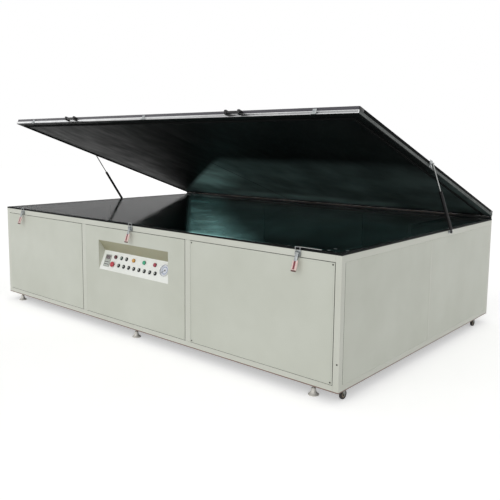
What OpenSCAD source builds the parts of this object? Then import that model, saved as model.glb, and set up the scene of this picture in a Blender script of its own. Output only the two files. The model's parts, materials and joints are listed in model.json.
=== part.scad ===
// Large screen printing exposure unit: a steel cabinet with a glass top, a vacuum lid with a rubber
// blanket on gas struts, and a recessed control console. Millimetres, +Z up, front towards -Y.
// The origin is on the floor under the middle of the cabinet.

/* [Cabinet] */
// Width of the cabinet
cab_w = 3600; // [3200:50:4000]
// Depth of the cabinet
cab_d = 2300; // [2000:50:2600]
// Height of the steel shell, from the bottom rails to the top of the top rails
shell_h = 785; // [740:5:900]
// Gap between the floor and the shell, filled by the levelling feet
foot_h = 70; // [66:1:90]
// Side of the square frame tube
tube = 40; // [38:1:46]
// Width of the two upright tubes between the front bays
mullion_w = 50; // [42:1:60]
// Wall of the frame tube
tube_wall = 3; // [2:0.5:4]
// Gap left for the weld between two tubes
weld_gap = 0.2; // [0.1:0.1:0.5]
// Thickness of the sheet that the panels are folded from
sheet = 1.5; // [1:0.5:2.5]
// Depth of a panel's folded edge
fold = 20; // [16:1:24]
// Gap between a panel and the frame around it
panel_gap = 3; // [2:0.5:5]
// How far the front panels stand proud of the frame
panel_proud = 1.5; // [0:0.5:3]
// Width of the welded strips that the panels rest against
stop_w = 20; // [14:1:24]
// Radius of a panel screw's head
screw_r = 5; // [4:0.5:6]
// Distance of a panel screw from the panel's edges
screw_inset = 12; // [10:1:14]
// Slots in a rear panel's louvre field
louvre_count = 10; // [4:1:14]

/* [Glass top] */
// Height of the rim and the glass above the frame
rim_h = 15; // [15:1:20]
// Width of the rim under the glass
rim_w = 60; // [50:1:80]
// Thickness of the plate glass
glass_t = 10; // [8:1:12]
// Width of the rim's lip around the glass
lip_w = 6; // [4:1:10]
// How far the glass stands above the lip
glass_proud = 4; // [2:1:5]

/* [Console] */
// Width of the control recess
recess_w = 800; // [780:10:1000]
// Height of the recess's lower edge above the floor
recess_low = 480; // [440:5:500]
// Height of the recess's deepest line above the floor
recess_mid = 620; // [600:5:640]
// Height of the recess's upper edge above the floor
recess_top = 708; // [690:5:740]
// Depth of the recess
recess_d = 60; // [50:1:80]
// Thickness of the console tray
tray_t = 2; // [1.5:0.5:3]
// Distance between two push buttons
button_pitch = 60; // [52:1:62]
// Place of the button row up the console
low_row = 52; // [46:1:56]
// Place of the lamp row up the console
high_row = 112; // [106:1:116]
// Distance of the stop button left of the first push button
stop_side = 70; // [60:1:76]
// Distance of the signal lamp left of the first push button
signal_side = 60; // [40:1:66]
// Distance of the start button right of the first push button
start_side = 8; // [0:1:12]
// Distance of the first pilot lamp from the middle
lamp_side = -25; // [-30:1:-5]
// Distance of the gauge from the middle
gauge_x = 330; // [322:1:334]
// Place of the gauge up the console
gauge_s = 87; // [84:1:90]
// Distance of the timer from the middle
timer_x = -326; // [-340:1:-322]
// Place of the timer up the console
timer_s = 75; // [72:1:80]
// Radius of a push button's cap
cap_r = 11.6; // [10:0.1:12]
// Travel of a push button
button_travel = 3.5; // [2:0.5:4]
// Width of the ring around a cap
bezel_w = 3; // [2:0.5:4]
// Radius of the stop button's mushroom head
mushroom_r = 20.5; // [18:0.5:22]
// Radius of a pilot lamp's lens
lamp_r = 14.5; // [12:0.5:15]
// Radius of the vacuum gauge
gauge_r = 43; // [40:1:48]
// Width of the timer's bezel
timer_w = 66; // [56:1:70]
// Height of the timer's bezel
timer_h = 96; // [80:1:98]

/* [Lid] */
// Angle at which the lid stands open
lid_open = 18.8; // [12:0.1:24]
// Gap between the glass and the steel of the closed lid, filled by the blanket
lid_gap = 15; // [13:1:18]
// Height of the lid's frame tube
lid_t = 42; // [38:1:50]
// Width of the lid's frame tube
lid_tube = 50; // [40:1:60]
// Tubes across the lid, between its sides
lid_cross_count = 3; // [1:1:5]
// Thickness of the rubber blanket
blanket_t = 3; // [2:0.5:4]
// Distance of the blanket's sealing bead from its edge
bead_inset = 48; // [40:1:70]
// Width of the sealing bead
bead_w = 14; // [8:1:20]
// Height of the aluminium clamping bars
clamp_h = 19; // [16:1:24]
// Thickness of the clamping bars
clamp_t = 4; // [3:0.5:6]
// Distance of each lid handle from the cabinet's side
handle_side = 900; // [700:10:1100]
// Distance between the two ends of a lid handle
handle_w = 112; // [100:1:160]
// Reach of a lid handle
handle_out = 42; // [38:1:50]
// Radius of a lid handle's grip
grip_r = 9; // [8:0.5:10]

/* [Hinges] */
// Distance of the outer hinges from the cabinet's sides
hinge_side = 200; // [150:10:600]
// Width of a hinge
hinge_w = 120; // [90:2:160]
// Distance of the hinge axis behind the cabinet
hinge_back = 8; // [7.5:0.5:10]
// Radius of a hinge knuckle
knuckle_r = 7; // [6:0.5:7]
// Radius of a hinge pin
hinge_pin_r = 4; // [3:0.5:4.5]

/* [Gas struts] */
// Distance of a strut's lower pivot behind the middle
strut_foot_y = 287; // [250:1:320]
// Distance from the hinge axis to a strut's upper pivot
strut_reach = 1316; // [1280:1:1340]
// How far the left strut is mounted ahead of the right one
strut_ahead = 85; // [0:1:100]
// Length of a strut's cylinder, from its pivot
strut_body = 375; // [340:1:390]
// Radius of a strut's cylinder
strut_r = 12; // [10:0.5:13]
// Radius of a strut's rod
rod_r = 5; // [4:0.5:6]
// Distance of the struts outside the cabinet
strut_out = 16; // [16:0.5:20]
// Height of the lower pivot below the top of the frame
strut_drop = 10; // [10:1:20]
// Height of the upper pivot above the bottom of the closed lid
strut_lift = 27; // [20:1:32]

/* [Latches] */
// Distance of the outer latches from the cabinet's sides
latch_side = 290; // [200:10:500]
// Height of a latch lever's pivot below the top of the frame
latch_drop = 17; // [15:1:18]
// Angle at which a lever's grip stands off the cabinet
lever_lean = 20; // [15:1:25]
// Length of a lever
lever_l = 110; // [90:1:125]
// Reach of a lever's pivot in front of the cabinet
lever_out = 13; // [12:0.5:15]
// Radius of the bail's wire
wire_r = 2; // [1.5:0.25:2.5]

/* [Feet and castors] */
// Distance of the left feet from the cabinet's side
foot_left = 140; // [110:2:300]
// Distance of the right feet from the cabinet's side
foot_right = 196; // [110:2:300]
// Place of the middle feet across the cabinet
foot_mid_x = -10; // [-200:10:200]
// Distance of the feet from the cabinet's front and back
foot_inset = 47; // [45:1:120]
// Radius of a foot's base
foot_r = 33; // [28:1:40]
// Radius of a castor's wheel
wheel_r = 29; // [24:1:30]
// Width of a castor's wheel
wheel_w = 20; // [14:1:22]
// Distance of a castor's wheel behind its pivot
castor_trail = 20; // [14:1:24]
// Distance of the castors from the cabinet's sides
castor_side = 34; // [30:1:40]
// Distance of the right front castor from the cabinet's front
castor_front = 85; // [72:1:140]
// Distance of the left front castor from the cabinet's front
castor_inner = 420; // [200:10:600]
// Distance of the rear castors from the cabinet's back
castor_rear = 236; // [140:1:300]
// Gap between the castors and the floor while the feet carry the weight
wheel_lift = 2; // [2:0.5:6]

/* [Inside] */
// Distance between two exposure lamps
lamp_pitch = 1150; // [1000:10:1250]
// Side of a lamp's reflector
reflector_w = 380; // [300:10:460]
// Distance of the vacuum pump from the middle
pump_x = 1420; // [1400:10:1540]
// Distance of the vacuum pump behind the middle
pump_y = 560; // [500:10:700]
// Distance of the cable gland left of the middle, seen from the front
gland_side = 770; // [700:10:1000]
// Height of the cable gland above the floor
gland_z = 190; // [160:5:240]
// Radius of the cable gland's thread
gland_r = 12; // [10:0.5:14]
// Radius of the cable gland's bore
gland_bore = 6; // [4:0.5:8]

/* [Hidden] */
$fn = 48;

// Levels and planes
half_w = cab_w / 2;
half_d = cab_d / 2;
frame_top = foot_h + shell_h;
glass_z = frame_top + rim_h;
hinge_y = half_d + hinge_back;
hinge_z = glass_z + lid_gap;
rail_low = foot_h + tube;
rail_high = frame_top - tube;
console_y = -half_d - panel_proud + sheet;
cut = 1;
seat_gap = 0.3;
run_gap = 0.05;

// Bays between the posts
post_in_x = half_w - tube;
post_in_y = half_d - tube;
bay_w = (2 * post_in_x - 2 * mullion_w) / 3;
mullion_x = bay_w / 2 + mullion_w / 2;
opening_h = rail_high - rail_low;
panel_h = opening_h - 2 * panel_gap;
front_panel_w = bay_w - 2 * panel_gap;
side_panel_w = post_in_y - 1.5 * panel_gap;
stop_t = 3;

// Console plane
rise_low = recess_mid - recess_low;
rise_high = recess_top - recess_mid;
slope_low = norm([recess_d, rise_low]);
slope_high = norm([recess_d, rise_high]);
console_tilt = atan2(rise_low, recess_d);
recess_half = recess_w / 2;

// Controls
bezel_h = 3.5;
cap_deep = 6;
cap_proud = 8;
cap_edge = 1;
cup_deep = cap_deep + button_travel + 1;
cap_gap = 0.3;
cup_r = cap_r + cap_gap;
barrel_r = cup_r + 1;
barrel_l = 34;
block_w = 30;
block_h = 24;
bezel_r = cup_r + bezel_w;
button_x0 = -3 * button_pitch;
row_xs = [for (i = [0:7]) button_x0 + i * button_pitch];
stop_x = button_x0 - stop_side;
start_x = button_x0 + start_side;
reset_x = start_x + button_pitch;
lamp_xs = concat([button_x0 - signal_side], [for (i = [0:2]) lamp_side + 2 * i * button_pitch]);
lamp_dome = 7.5;
lens_low = bezel_h + 4;
control_at = concat([for (x = concat(row_xs, [stop_x])) [x, low_row]],
    [for (x = concat(lamp_xs, [start_x, reset_x])) [x, high_row]]);
gauge_h = 14;
gauge_wall = 3;
gauge_stem_r = 9;
gauge_post_r = 1.5;
needle_rest = 125;
timer_rim = 4;
timer_body = [timer_w - 2 * timer_rim, timer_h - 2 * timer_rim, 60];

// Lid
lid_short = 1;
lid_front = -half_d + clamp_t;
lid_back = half_d - lid_short;
lid_half = half_w - clamp_t;
lid_top = hinge_z + lid_t;
lid_wall = 2;

// Struts: the pivots in the YZ plane, with the lid open and closed
function ahead(sx) = sx < 0 ? strut_ahead : 0;
function strut_foot(sx) = [strut_foot_y - ahead(sx), frame_top - strut_drop];
function closed_head(sx) = [
    hinge_y - sqrt(pow(strut_reach + ahead(sx), 2) - pow(strut_lift, 2)), hinge_z + strut_lift
];
function strut_run(sx) = turn_about([hinge_y, hinge_z], closed_head(sx), -lid_open) - strut_foot(sx);
function strut_open_l(sx) = norm(strut_run(sx));
function strut_open_a(sx) = atan2(strut_run(sx)[1], strut_run(sx)[0]);
strut_x = half_w + strut_out;
strut_eye_r = 10;
strut_eye_t = 10;
strut_eye_in = strut_x - strut_eye_t / 2 - seat_gap;
strut_eye_out = strut_x + strut_eye_t / 2 + seat_gap;
strut_pin_r = 4;
strut_neck = 24;
cylinder_end = 10;
rod_in_body = 100;
bracket_t = 3;

// Latches
pivot_y = -half_d - lever_out;
pivot_z = frame_top - latch_drop;
bail_dy = 3;
bail_dz = -12;
bail_top = glass_z + 6;
ear_in = 11.8;
ear_t = 2.5;
ear_r = 7;
latch_pin_r = 3;
lever_side = 0.5;
lever_half = ear_in - lever_side;
bail_side = 0.7;
bail_half = ear_in + ear_t + wire_r + bail_side;
latch_plate_half = 17;
latch_plate_t = 2.5;
latch_xs = [latch_side - half_w, 0, half_w - latch_side];
handle_xs = [handle_side - half_w, half_w - handle_side];
hinge_xs = [hinge_side - half_w, 0, half_w - hinge_side];
sides = [-1, 1];

// Feet and castors
foot_xs = [foot_left - half_w, foot_mid_x, half_w - foot_right];
foot_ys = [-half_d + foot_inset, half_d - foot_inset];
cross_w = 50;
castor_x = half_w - castor_side;
castor_plate_w = 60;
castor_plate_t = 3;
castor_front_y = -half_d + castor_front;
castor_inner_y = -half_d + castor_inner;
castor_rear_y = half_d - castor_rear;
fork_t = 3;
fork_gap = 1;
fork_head_r = 19;
kingpin_r = 5;
axle_r = 3.5;
wheel_z = wheel_lift + wheel_r;
fork_head_z = wheel_z + wheel_r + 3;
castor_top_z = foot_h - castor_plate_t;

// Inside the cabinet
pan_top = rail_low + sheet;
stand_h = 80;
trough_h = 120;
box_gap = 60;
pump_r = 70;
pump_foot = 20;
pump_base = [160, 260, 10];
pump_motor_l = 220;
pump_head = [150, 120, 150];
pump_head_y = pump_y - pump_motor_l / 2 - pump_head[1] + 100;
pump_top = pan_top + pump_foot + pump_base[2] - cut + pump_head[2];

// [y, z] turned by angle a about the centre c
function turn_about(c, p, a) = [
    c[0] + (p[0] - c[0]) * cos(a) - (p[1] - c[1]) * sin(a),
    c[1] + (p[0] - c[0]) * sin(a) + (p[1] - c[1]) * cos(a)
];

// A hollow square tube from a corner point along "x", "y" or "z"; a and b are its other two sides
module box_tube(axis, corner, run, a, b, wall = tube_wall) {
    size = axis == "x" ? [run, a, b] : axis == "y" ? [a, run, b] : [a, b, run];
    along = axis == "x" ? [1, 0, 0] : axis == "y" ? [0, 1, 0] : [0, 0, 1];
    across = [1, 1, 1] - along;
    translate(corner) {
        difference() {
            cube(size);
            translate(wall * across - cut * along) {
                cube(size - 2 * wall * across + 2 * cut * along);
            }
        }
    }
}

// A round bar along X, centred
module bar_x(r, l) {
    rotate([0, 90, 0]) {
        cylinder(r = r, h = l, center = true);
    }
}

// Welded upright strips behind the edges of one bay, as solids fused with their posts
module post_strip(x0, y0, dx, dy) {
    translate([x0, y0, rail_low + weld_gap]) {
        cube([dx, dy, opening_h - 2 * weld_gap]);
    }
}

// Corner posts, bay posts and the two middle posts behind the side panels
module posts() {
    color("#c8cabe") {
        for (sx = sides, sy = sides) {
            x0 = sx < 0 ? -half_w : post_in_x;
            y0 = sy < 0 ? -half_d : post_in_y;
            box_tube("z", [x0, y0, foot_h], shell_h, tube, tube);
            post_strip(sx < 0 ? -post_in_x : post_in_x - stop_w,
                sy < 0 ? -half_d + fold : half_d - fold - stop_t, stop_w, stop_t);
            post_strip(sx < 0 ? -half_w + fold : half_w - fold - stop_t,
                sy < 0 ? -post_in_y : post_in_y - stop_w, stop_t, stop_w);
        }
        for (sx = sides, sy = sides) {
            x0 = sx * mullion_x - mullion_w / 2;
            y0 = sy < 0 ? -half_d : post_in_y;
            box_tube("z", [x0, y0, rail_low + weld_gap], opening_h - 2 * weld_gap, mullion_w, tube);
            for (side = sides) {
                post_strip(side < 0 ? x0 - stop_w : x0 + mullion_w,
                    sy < 0 ? -half_d + fold : half_d - fold - stop_t, stop_w, stop_t);
            }
        }
        for (sx = sides) {
            x0 = sx < 0 ? -half_w + fold : half_w - fold - tube;
            box_tube("z", [x0, -tube / 2, rail_low + weld_gap], opening_h - 2 * weld_gap, tube, tube);
        }
    }
}

// Top and bottom rails, and the three tubes across the bottom that stand on the feet
module rails() {
    run_x = 2 * (post_in_x - weld_gap);
    run_y = 2 * (post_in_y - weld_gap);
    color("#cdcfc3") {
        for (z0 = [foot_h, rail_high]) {
            for (y0 = [-half_d, post_in_y]) {
                box_tube("x", [-run_x / 2, y0, z0], run_x, tube, tube);
            }
            for (x0 = [-half_w, post_in_x]) {
                box_tube("y", [x0, -run_y / 2, z0], run_y, tube, tube);
            }
        }
        for (x = foot_xs) {
            box_tube("y", [x - cross_w / 2, -run_y / 2, foot_h], run_y, cross_w, tube);
        }
    }
}

// A folded sheet panel, face towards -Y at y = 0, with its edges folded back
module pan(w, deep = fold) {
    difference() {
        translate([-w / 2, 0, 0]) {
            cube([w, deep, panel_h]);
        }
        translate([-w / 2 + sheet, sheet, sheet]) {
            cube([w - 2 * sheet, deep, panel_h - 2 * sheet]);
        }
    }
}

// The lift-off panel on the left and the screwed panel on the right
module front_panels() {
    color("#c6c9bd") {
        for (sx = sides) {
            translate([sx * (bay_w + mullion_w), -half_d - panel_proud, rail_low + panel_gap]) {
                difference() {
                    pan(front_panel_w, fold + panel_proud);
                    if (sx > 0) {
                        panel_corners(front_panel_w) {
                            rotate([-90, 0, 0]) {
                                cylinder(r = screw_r / 2, h = 4 * sheet, center = true);
                            }
                        }
                    }
                }
            }
        }
    }
}

// Places its child at the four screw positions of a panel w wide
module panel_corners(w) {
    for (x = [-w / 2 + screw_inset, w / 2 - screw_inset]) {
        for (z = [screw_inset, panel_h - screw_inset]) {
            translate([x, 0, z]) {
                children();
            }
        }
    }
}

// The middle panel, cut out for the control recess
module centre_panel() {
    color("#c6c9bd") {
        difference() {
            translate([0, -half_d - panel_proud, rail_low + panel_gap]) {
                pan(front_panel_w, fold + panel_proud);
            }
            translate([-recess_half, -half_d - panel_proud - cut, recess_low]) {
                cube([recess_w, sheet + 2 * cut, recess_top - recess_low]);
            }
        }
    }
}

// Four side panels, two a side, meeting over the middle posts
module side_panels() {
    color("#b9bbaf") {
        for (sx = sides, sy = sides) {
            translate([sx * half_w, sy * (side_panel_w + panel_gap) / 2, rail_low + panel_gap]) {
                rotate([0, 0, 90 * sx]) {
                    pan(side_panel_w);
                }
            }
        }
    }
}

// Three rear panels with louvres, the left one with the cable gland's hole
module rear_panels() {
    louvre_l = 300;
    louvre_h = 8;
    louvre_step = 26;
    louvre_z = 60;
    color("#bfc1b5") {
        for (bay = [-1, 0, 1]) {
            translate([bay * (bay_w + mullion_w), half_d, rail_low + panel_gap]) {
                rotate([0, 0, 180]) {
                    difference() {
                        pan(front_panel_w);
                        for (row = [0:louvre_count - 1]) {
                            translate([-louvre_l / 2, -cut, louvre_z + row * louvre_step]) {
                                cube([louvre_l, sheet + 2 * cut, louvre_h]);
                            }
                        }
                        panel_corners(front_panel_w) {
                            rotate([-90, 0, 0]) {
                                cylinder(r = screw_r / 2, h = 4 * sheet, center = true);
                            }
                        }
                        if (bay == -1) {
                            hole_z = gland_z - rail_low - panel_gap;
                            translate([gland_side - bay_w - mullion_w, -cut, hole_z]) {
                                rotate([-90, 0, 0]) {
                                    cylinder(r = gland_r, h = sheet + 2 * cut);
                                }
                            }
                        }
                    }
                }
            }
        }
    }
}

// The sheet floor of the cabinet, on the tubes across the bottom
module floor_pan() {
    reach_x = half_w - min(foot_left, foot_right) + cross_w;
    color("#3a3c3a") {
        translate([-reach_x, -post_in_y + seat_gap, rail_low]) {
            cube([2 * reach_x, 2 * (post_in_y - seat_gap), sheet]);
        }
    }
}

// Places its child on the console plane, s up its slope, with +Z out of the plane
module on_console(x, s) {
    translate([x, console_y + s * recess_d / slope_low, recess_low + s * rise_low / slope_low]) {
        rotate([console_tilt, 0, 0]) {
            children();
        }
    }
}

// The folded tray of the control recess, open at the front
module console_tray() {
    low_shift = tray_t * slope_low / recess_d;
    high_shift = tray_t * slope_high / recess_d;
    back_y = (recess_top - recess_low + low_shift + high_shift) * recess_d / (rise_low + rise_high);
    back_z = recess_low - low_shift + back_y * rise_low / recess_d;
    inner = [[-cut, recess_low - cut * rise_low / recess_d], [recess_d, recess_mid],
        [-cut, recess_top + cut * rise_high / recess_d]];
    outer = [[0, recess_low - low_shift], [back_y, back_z], [0, recess_top + high_shift]];
    color("#dfe2da") {
        difference() {
            translate([-recess_half - tray_t, console_y, 0]) {
                extrude_x(outer, recess_w + 2 * tray_t);
            }
            translate([-recess_half, console_y, 0]) {
                extrude_x(inner, recess_w);
            }
            for (at = control_at) {
                on_console(at[0], at[1]) {
                    cylinder(r = barrel_r + seat_gap, h = 6 * tray_t, center = true);
                }
            }
            on_console(gauge_x, gauge_s) {
                cylinder(r = gauge_stem_r + seat_gap, h = 6 * tray_t, center = true);
            }
            on_console(timer_x, timer_s) {
                cube([timer_body[0] + 2 * seat_gap, timer_body[1] + 2 * seat_gap, 6 * tray_t], center = true);
            }
        }
    }
}

// A flat outline of [y, z] points drawn out along X
module extrude_x(outline, l) {
    rotate([90, 0, 90]) {
        linear_extrude(l) {
            polygon(outline);
        }
    }
}

// The plate glass, lying in the rim
module glass_top() {
    w = cab_w - 2 * (lip_w + seat_gap);
    d = cab_d - 2 * (lip_w + seat_gap);
    color("#2a3a38") {
        translate([-w / 2, -d / 2, glass_z - glass_t]) {
            cube([w, d, glass_t]);
        }
    }
}

// The black rim under and around the glass, in four lengths
module glass_rim() {
    side_l = cab_d - 2 * (rim_w + weld_gap);
    color("#141414") {
        for (turn = [0, 180]) {
            rotate([0, 0, turn]) {
                translate([-half_w, -half_d, frame_top]) {
                    rim_bar(cab_w, lip_w);
                }
                translate([half_w, -side_l / 2, frame_top]) {
                    rotate([0, 0, 90]) {
                        rim_bar(side_l, 0);
                    }
                }
            }
        }
    }
}

// One length of the rim along X: a lip at y = 0 and a ledge for the glass, closed off at its ends
module rim_bar(l, end_lip) {
    ledge_h = rim_h - glass_t;
    lip_h = rim_h - glass_proud;
    cube([l, rim_w, ledge_h]);
    cube([l, lip_w, lip_h]);
    if (end_lip > 0) {
        for (x = [0, l - end_lip]) {
            translate([x, 0, 0]) {
                cube([end_lip, rim_w, lip_h]);
            }
        }
    }
}

// The fixed leaves of the three rear hinges, each with its outer knuckles and its pin
module hinge_bases() {
    leaf_low = rail_high + 4;
    leaf_top = hinge_z - knuckle_r - cut;
    knuckle_l = hinge_w / 3 - seat_gap;
    color("#8d8f8c") {
        for (x = hinge_xs) {
            translate([x, 0, 0]) {
                translate([-hinge_w / 2, half_d, leaf_low]) {
                    cube([hinge_w, bracket_t, leaf_top - leaf_low]);
                }
                for (side = sides) {
                    translate([side * hinge_w / 3, hinge_y, hinge_z]) {
                        bar_x(knuckle_r, knuckle_l);
                    }
                    translate([side * hinge_w / 3 - knuckle_l / 2, half_d, leaf_low]) {
                        cube([knuckle_l, bracket_t, hinge_z - leaf_low]);
                    }
                }
                translate([0, hinge_y, hinge_z]) {
                    bar_x(hinge_pin_r, hinge_w - cut);
                }
                for (side = sides) {
                    translate([side * hinge_w / 3, half_d + bracket_t, leaf_low + tube / 3]) {
                        rotate([-90, 0, 0]) {
                            cylinder(r = screw_r, h = bracket_t);
                        }
                    }
                }
            }
        }
    }
}

// The lower ball brackets of the gas struts, on the side rails
module strut_feet() {
    color("#a7a9a6") {
        for (sx = sides) {
            foot = strut_foot(sx);
            strut_bracket(sx, foot, strut_eye_out, 2 * strut_drop);
            translate([sx * (strut_eye_out + bracket_t / 2), foot[0], foot[1]]) {
                bar_x(1.5 * strut_pin_r, bracket_t);
            }
        }
    }
}

// A side plate with a stud that points outwards as far as x_end, at [y, z]
module strut_bracket(sx, at, x_end, plate_h) {
    plate_w = 40;
    translate([sx * (half_w + bracket_t / 2), at[0], at[1]]) {
        cube([bracket_t, plate_w, plate_h], center = true);
    }
    translate([sx * (half_w + x_end) / 2, at[0], at[1]]) {
        bar_x(strut_pin_r, x_end - half_w);
    }
}

// The plates of the three latches on the front rail, with their ears and pivot pins
module latch_bases() {
    low = rail_high + 3;
    color("#b8bab9") {
        for (x = latch_xs) {
            translate([x - latch_plate_half, -half_d - latch_plate_t, low]) {
                cube([2 * latch_plate_half, latch_plate_t, frame_top - 1 - low]);
            }
            for (side = sides) {
                translate([x + side * (ear_in + ear_t / 2), 0, 0]) {
                    translate([0, pivot_y, pivot_z]) {
                        bar_x(ear_r, ear_t);
                    }
                    translate([-ear_t / 2, pivot_y, pivot_z - ear_r]) {
                        cube([ear_t, lever_out, 2 * ear_r]);
                    }
                }
            }
            translate([x, pivot_y, pivot_z]) {
                bar_x(latch_pin_r, 2 * (ear_in + ear_t));
            }
        }
    }
}

// A latch lever: hub, bail boss, arm and grip, hanging with its grip off the cabinet
module latch_lever(i) {
    boss_r = wire_r + 2.5;
    hub_r = latch_pin_r + 3;
    arm_t = 4;
    grip_l = 60;
    arm_l = lever_l - grip_l;
    arm_half = lever_half - 0.8;
    grip_w = 19;
    grip_t = 9;
    tip_r = 5.5;
    tip_side = 0.5;
    web_in = 1.2;
    color("#8a2a33") {
        translate([latch_xs[i], pivot_y, pivot_z]) {
            difference() {
                union() {
                    bar_x(hub_r, 2 * lever_half);
                    translate([0, bail_dy, bail_dz]) {
                        bar_x(boss_r, 2 * lever_half);
                    }
                    translate([-lever_half, bail_dy / 2 - arm_t, bail_dz + web_in]) {
                        cube([2 * lever_half, 2 * arm_t, -bail_dz - 2 * web_in]);
                    }
                    rotate([-lever_lean, 0, 0]) {
                        translate([-arm_half, -arm_t / 2, -arm_l]) {
                            cube([2 * arm_half, arm_t, arm_l - web_in]);
                        }
                        translate([-grip_w / 2, -grip_t / 2, -lever_l + tip_r]) {
                            cube([grip_w, grip_t, lever_l - arm_l]);
                        }
                        translate([0, 0, -lever_l + tip_r]) {
                            bar_x(tip_r, grip_w + 2 * tip_side);
                        }
                    }
                }
                bar_x(latch_pin_r + run_gap, 4 * lever_half);
                translate([0, bail_dy, bail_dz]) {
                    bar_x(wire_r + run_gap, 4 * lever_half);
                }
            }
        }
    }
}

// A latch's wire bail, standing up from the lever in front of the rim
module latch_bail(i) {
    top_z = bail_top - wire_r;
    low_z = pivot_z + bail_dz;
    wire_hold = 5;
    wire_in = lever_half - wire_hold;
    color("#c4c6c6") {
        translate([latch_xs[i], pivot_y + bail_dy, 0]) {
            for (side = sides) {
                translate([side * bail_half, 0, low_z]) {
                    cylinder(r = wire_r, h = top_z - low_z);
                    sphere(r = wire_r);
                }
                translate([side * (bail_half + wire_in) / 2, 0, low_z]) {
                    bar_x(wire_r, bail_half - wire_in);
                }
                translate([side * bail_half, 0, top_z]) {
                    sphere(r = wire_r);
                }
            }
            translate([0, 0, top_z]) {
                bar_x(wire_r, 2 * bail_half);
            }
        }
    }
}

// The exposure timer: a bezel with a window and a key field, and its body behind the console
module timer() {
    face_t = 6;
    margin = 7;
    window = [timer_w - 2 * margin, timer_h * 0.3, 1.5];
    keys = [timer_w - 2 * margin, timer_h * 0.42, 1];
    color("#7c8078") {
        on_console(timer_x, timer_s) {
            difference() {
                union() {
                    translate([-timer_w / 2, -timer_h / 2, 0]) {
                        cube([timer_w, timer_h, face_t]);
                    }
                    translate([-timer_body[0] / 2, -timer_body[1] / 2, -timer_body[2]]) {
                        cube(timer_body + [0, 0, cut]);
                    }
                }
                translate([-window[0] / 2, timer_h / 2 - margin - window[1], face_t - window[2]]) {
                    cube(window + [0, 0, cut]);
                }
                translate([-keys[0] / 2, margin - timer_h / 2, face_t - keys[2]]) {
                    cube(keys + [0, 0, cut]);
                }
            }
        }
    }
}

// A control's ring on the console, its barrel through it and the contact block behind
module control_body() {
    difference() {
        union() {
            cylinder(r = bezel_r, h = bezel_h);
            translate([0, 0, -barrel_l]) {
                cylinder(r = barrel_r, h = barrel_l + cut);
            }
            translate([-block_w / 2, -block_w / 2, -barrel_l - block_h]) {
                cube([block_w, block_w, block_h]);
            }
        }
        translate([0, 0, -cup_deep]) {
            cylinder(r = cup_r, h = cup_deep + bezel_h + cut);
        }
    }
}

// The rings and contact blocks of all push buttons and lamps
module button_bezels() {
    color("#c9cbcb") {
        for (at = control_at) {
            on_console(at[0], at[1]) {
                control_body();
            }
        }
    }
}

// The coloured lenses of the four pilot lamps
module pilot_lenses() {
    color("#c0503c") {
        for (x = lamp_xs) {
            on_console(x, high_row) {
                translate([0, 0, -cap_deep]) {
                    cylinder(r = cap_r, h = cap_deep + lens_low);
                }
                translate([0, 0, bezel_h]) {
                    cylinder(r = lamp_r, h = lens_low - bezel_h);
                }
                translate([0, 0, lens_low]) {
                    dome(lamp_r, lamp_dome);
                }
            }
        }
    }
}

// A shallow dome of radius r and height h, standing on z = 0
module dome(r, h) {
    ball_r = (pow(r, 2) + pow(h, 2)) / (2 * h);
    intersection() {
        cylinder(r = r, h = h + cut);
        translate([0, 0, h - ball_r]) {
            sphere(r = ball_r);
        }
    }
}

// A push button's cap, at rest
module button_cap(x, s) {
    on_console(x, s) {
        translate([0, 0, -cap_deep]) {
            cylinder(r = cap_r, h = cap_deep + cap_proud - cap_edge);
            cylinder(r = cap_r - cap_edge, h = cap_deep + cap_proud);
        }
    }
}

// The black caps of the lower row, counted from the left
module row_button(i) {
    color("#1c1c1c") {
        button_cap(row_xs[i - 1], low_row);
    }
}

// The green start button
module start_button() {
    color("#1f5a40") {
        button_cap(start_x, high_row);
    }
}

// The black reset button
module reset_button() {
    color("#202020") {
        button_cap(reset_x, high_row);
    }
}

// The red mushroom stop button
module stop_button() {
    head_z = bezel_h + button_travel + 1;
    head_h = 7;
    dome_h = 4;
    color("#b03040") {
        on_console(stop_x, low_row) {
            translate([0, 0, -cap_deep]) {
                cylinder(r = cap_r, h = cap_deep + head_z + cut);
            }
            translate([0, 0, head_z]) {
                cylinder(r = mushroom_r, h = head_h);
            }
            translate([0, 0, head_z + head_h]) {
                dome(mushroom_r, dome_h);
            }
        }
    }
}

// The vacuum gauge: a round case with its dial inside, a centre post and a stem through the console
module vacuum_gauge() {
    stem_l = 30;
    color("#e6e8ea") {
        on_console(gauge_x, gauge_s) {
            difference() {
                cylinder(r = gauge_r, h = gauge_h);
                translate([0, 0, gauge_wall]) {
                    cylinder(r = gauge_r - gauge_wall, h = gauge_h);
                }
            }
            cylinder(r = gauge_post_r, h = gauge_h - gauge_wall);
            translate([0, 0, -stem_l]) {
                cylinder(r = gauge_stem_r, h = stem_l + cut);
            }
        }
    }
}

// The gauge's needle, turning on the centre post
module gauge_needle() {
    hub_r = 5;
    hub_h = 3;
    rim_gap = 8;
    tip = gauge_r - gauge_wall - rim_gap;
    tail = 12;
    needle_w = 2.4;
    needle_t = 1;
    color("#202020") {
        on_console(gauge_x, gauge_s) {
            translate([0, 0, gauge_wall + seat_gap]) {
                rotate([0, 0, needle_rest]) {
                    difference() {
                        union() {
                            cylinder(r = hub_r, h = hub_h);
                            translate([-needle_w / 2, -tail, hub_h / 2]) {
                                cube([needle_w, tip + tail, needle_t]);
                            }
                        }
                        translate([0, 0, -cut]) {
                            cylinder(r = gauge_post_r + run_gap, h = hub_h + 2 * cut);
                        }
                    }
                }
            }
        }
    }
}

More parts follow.
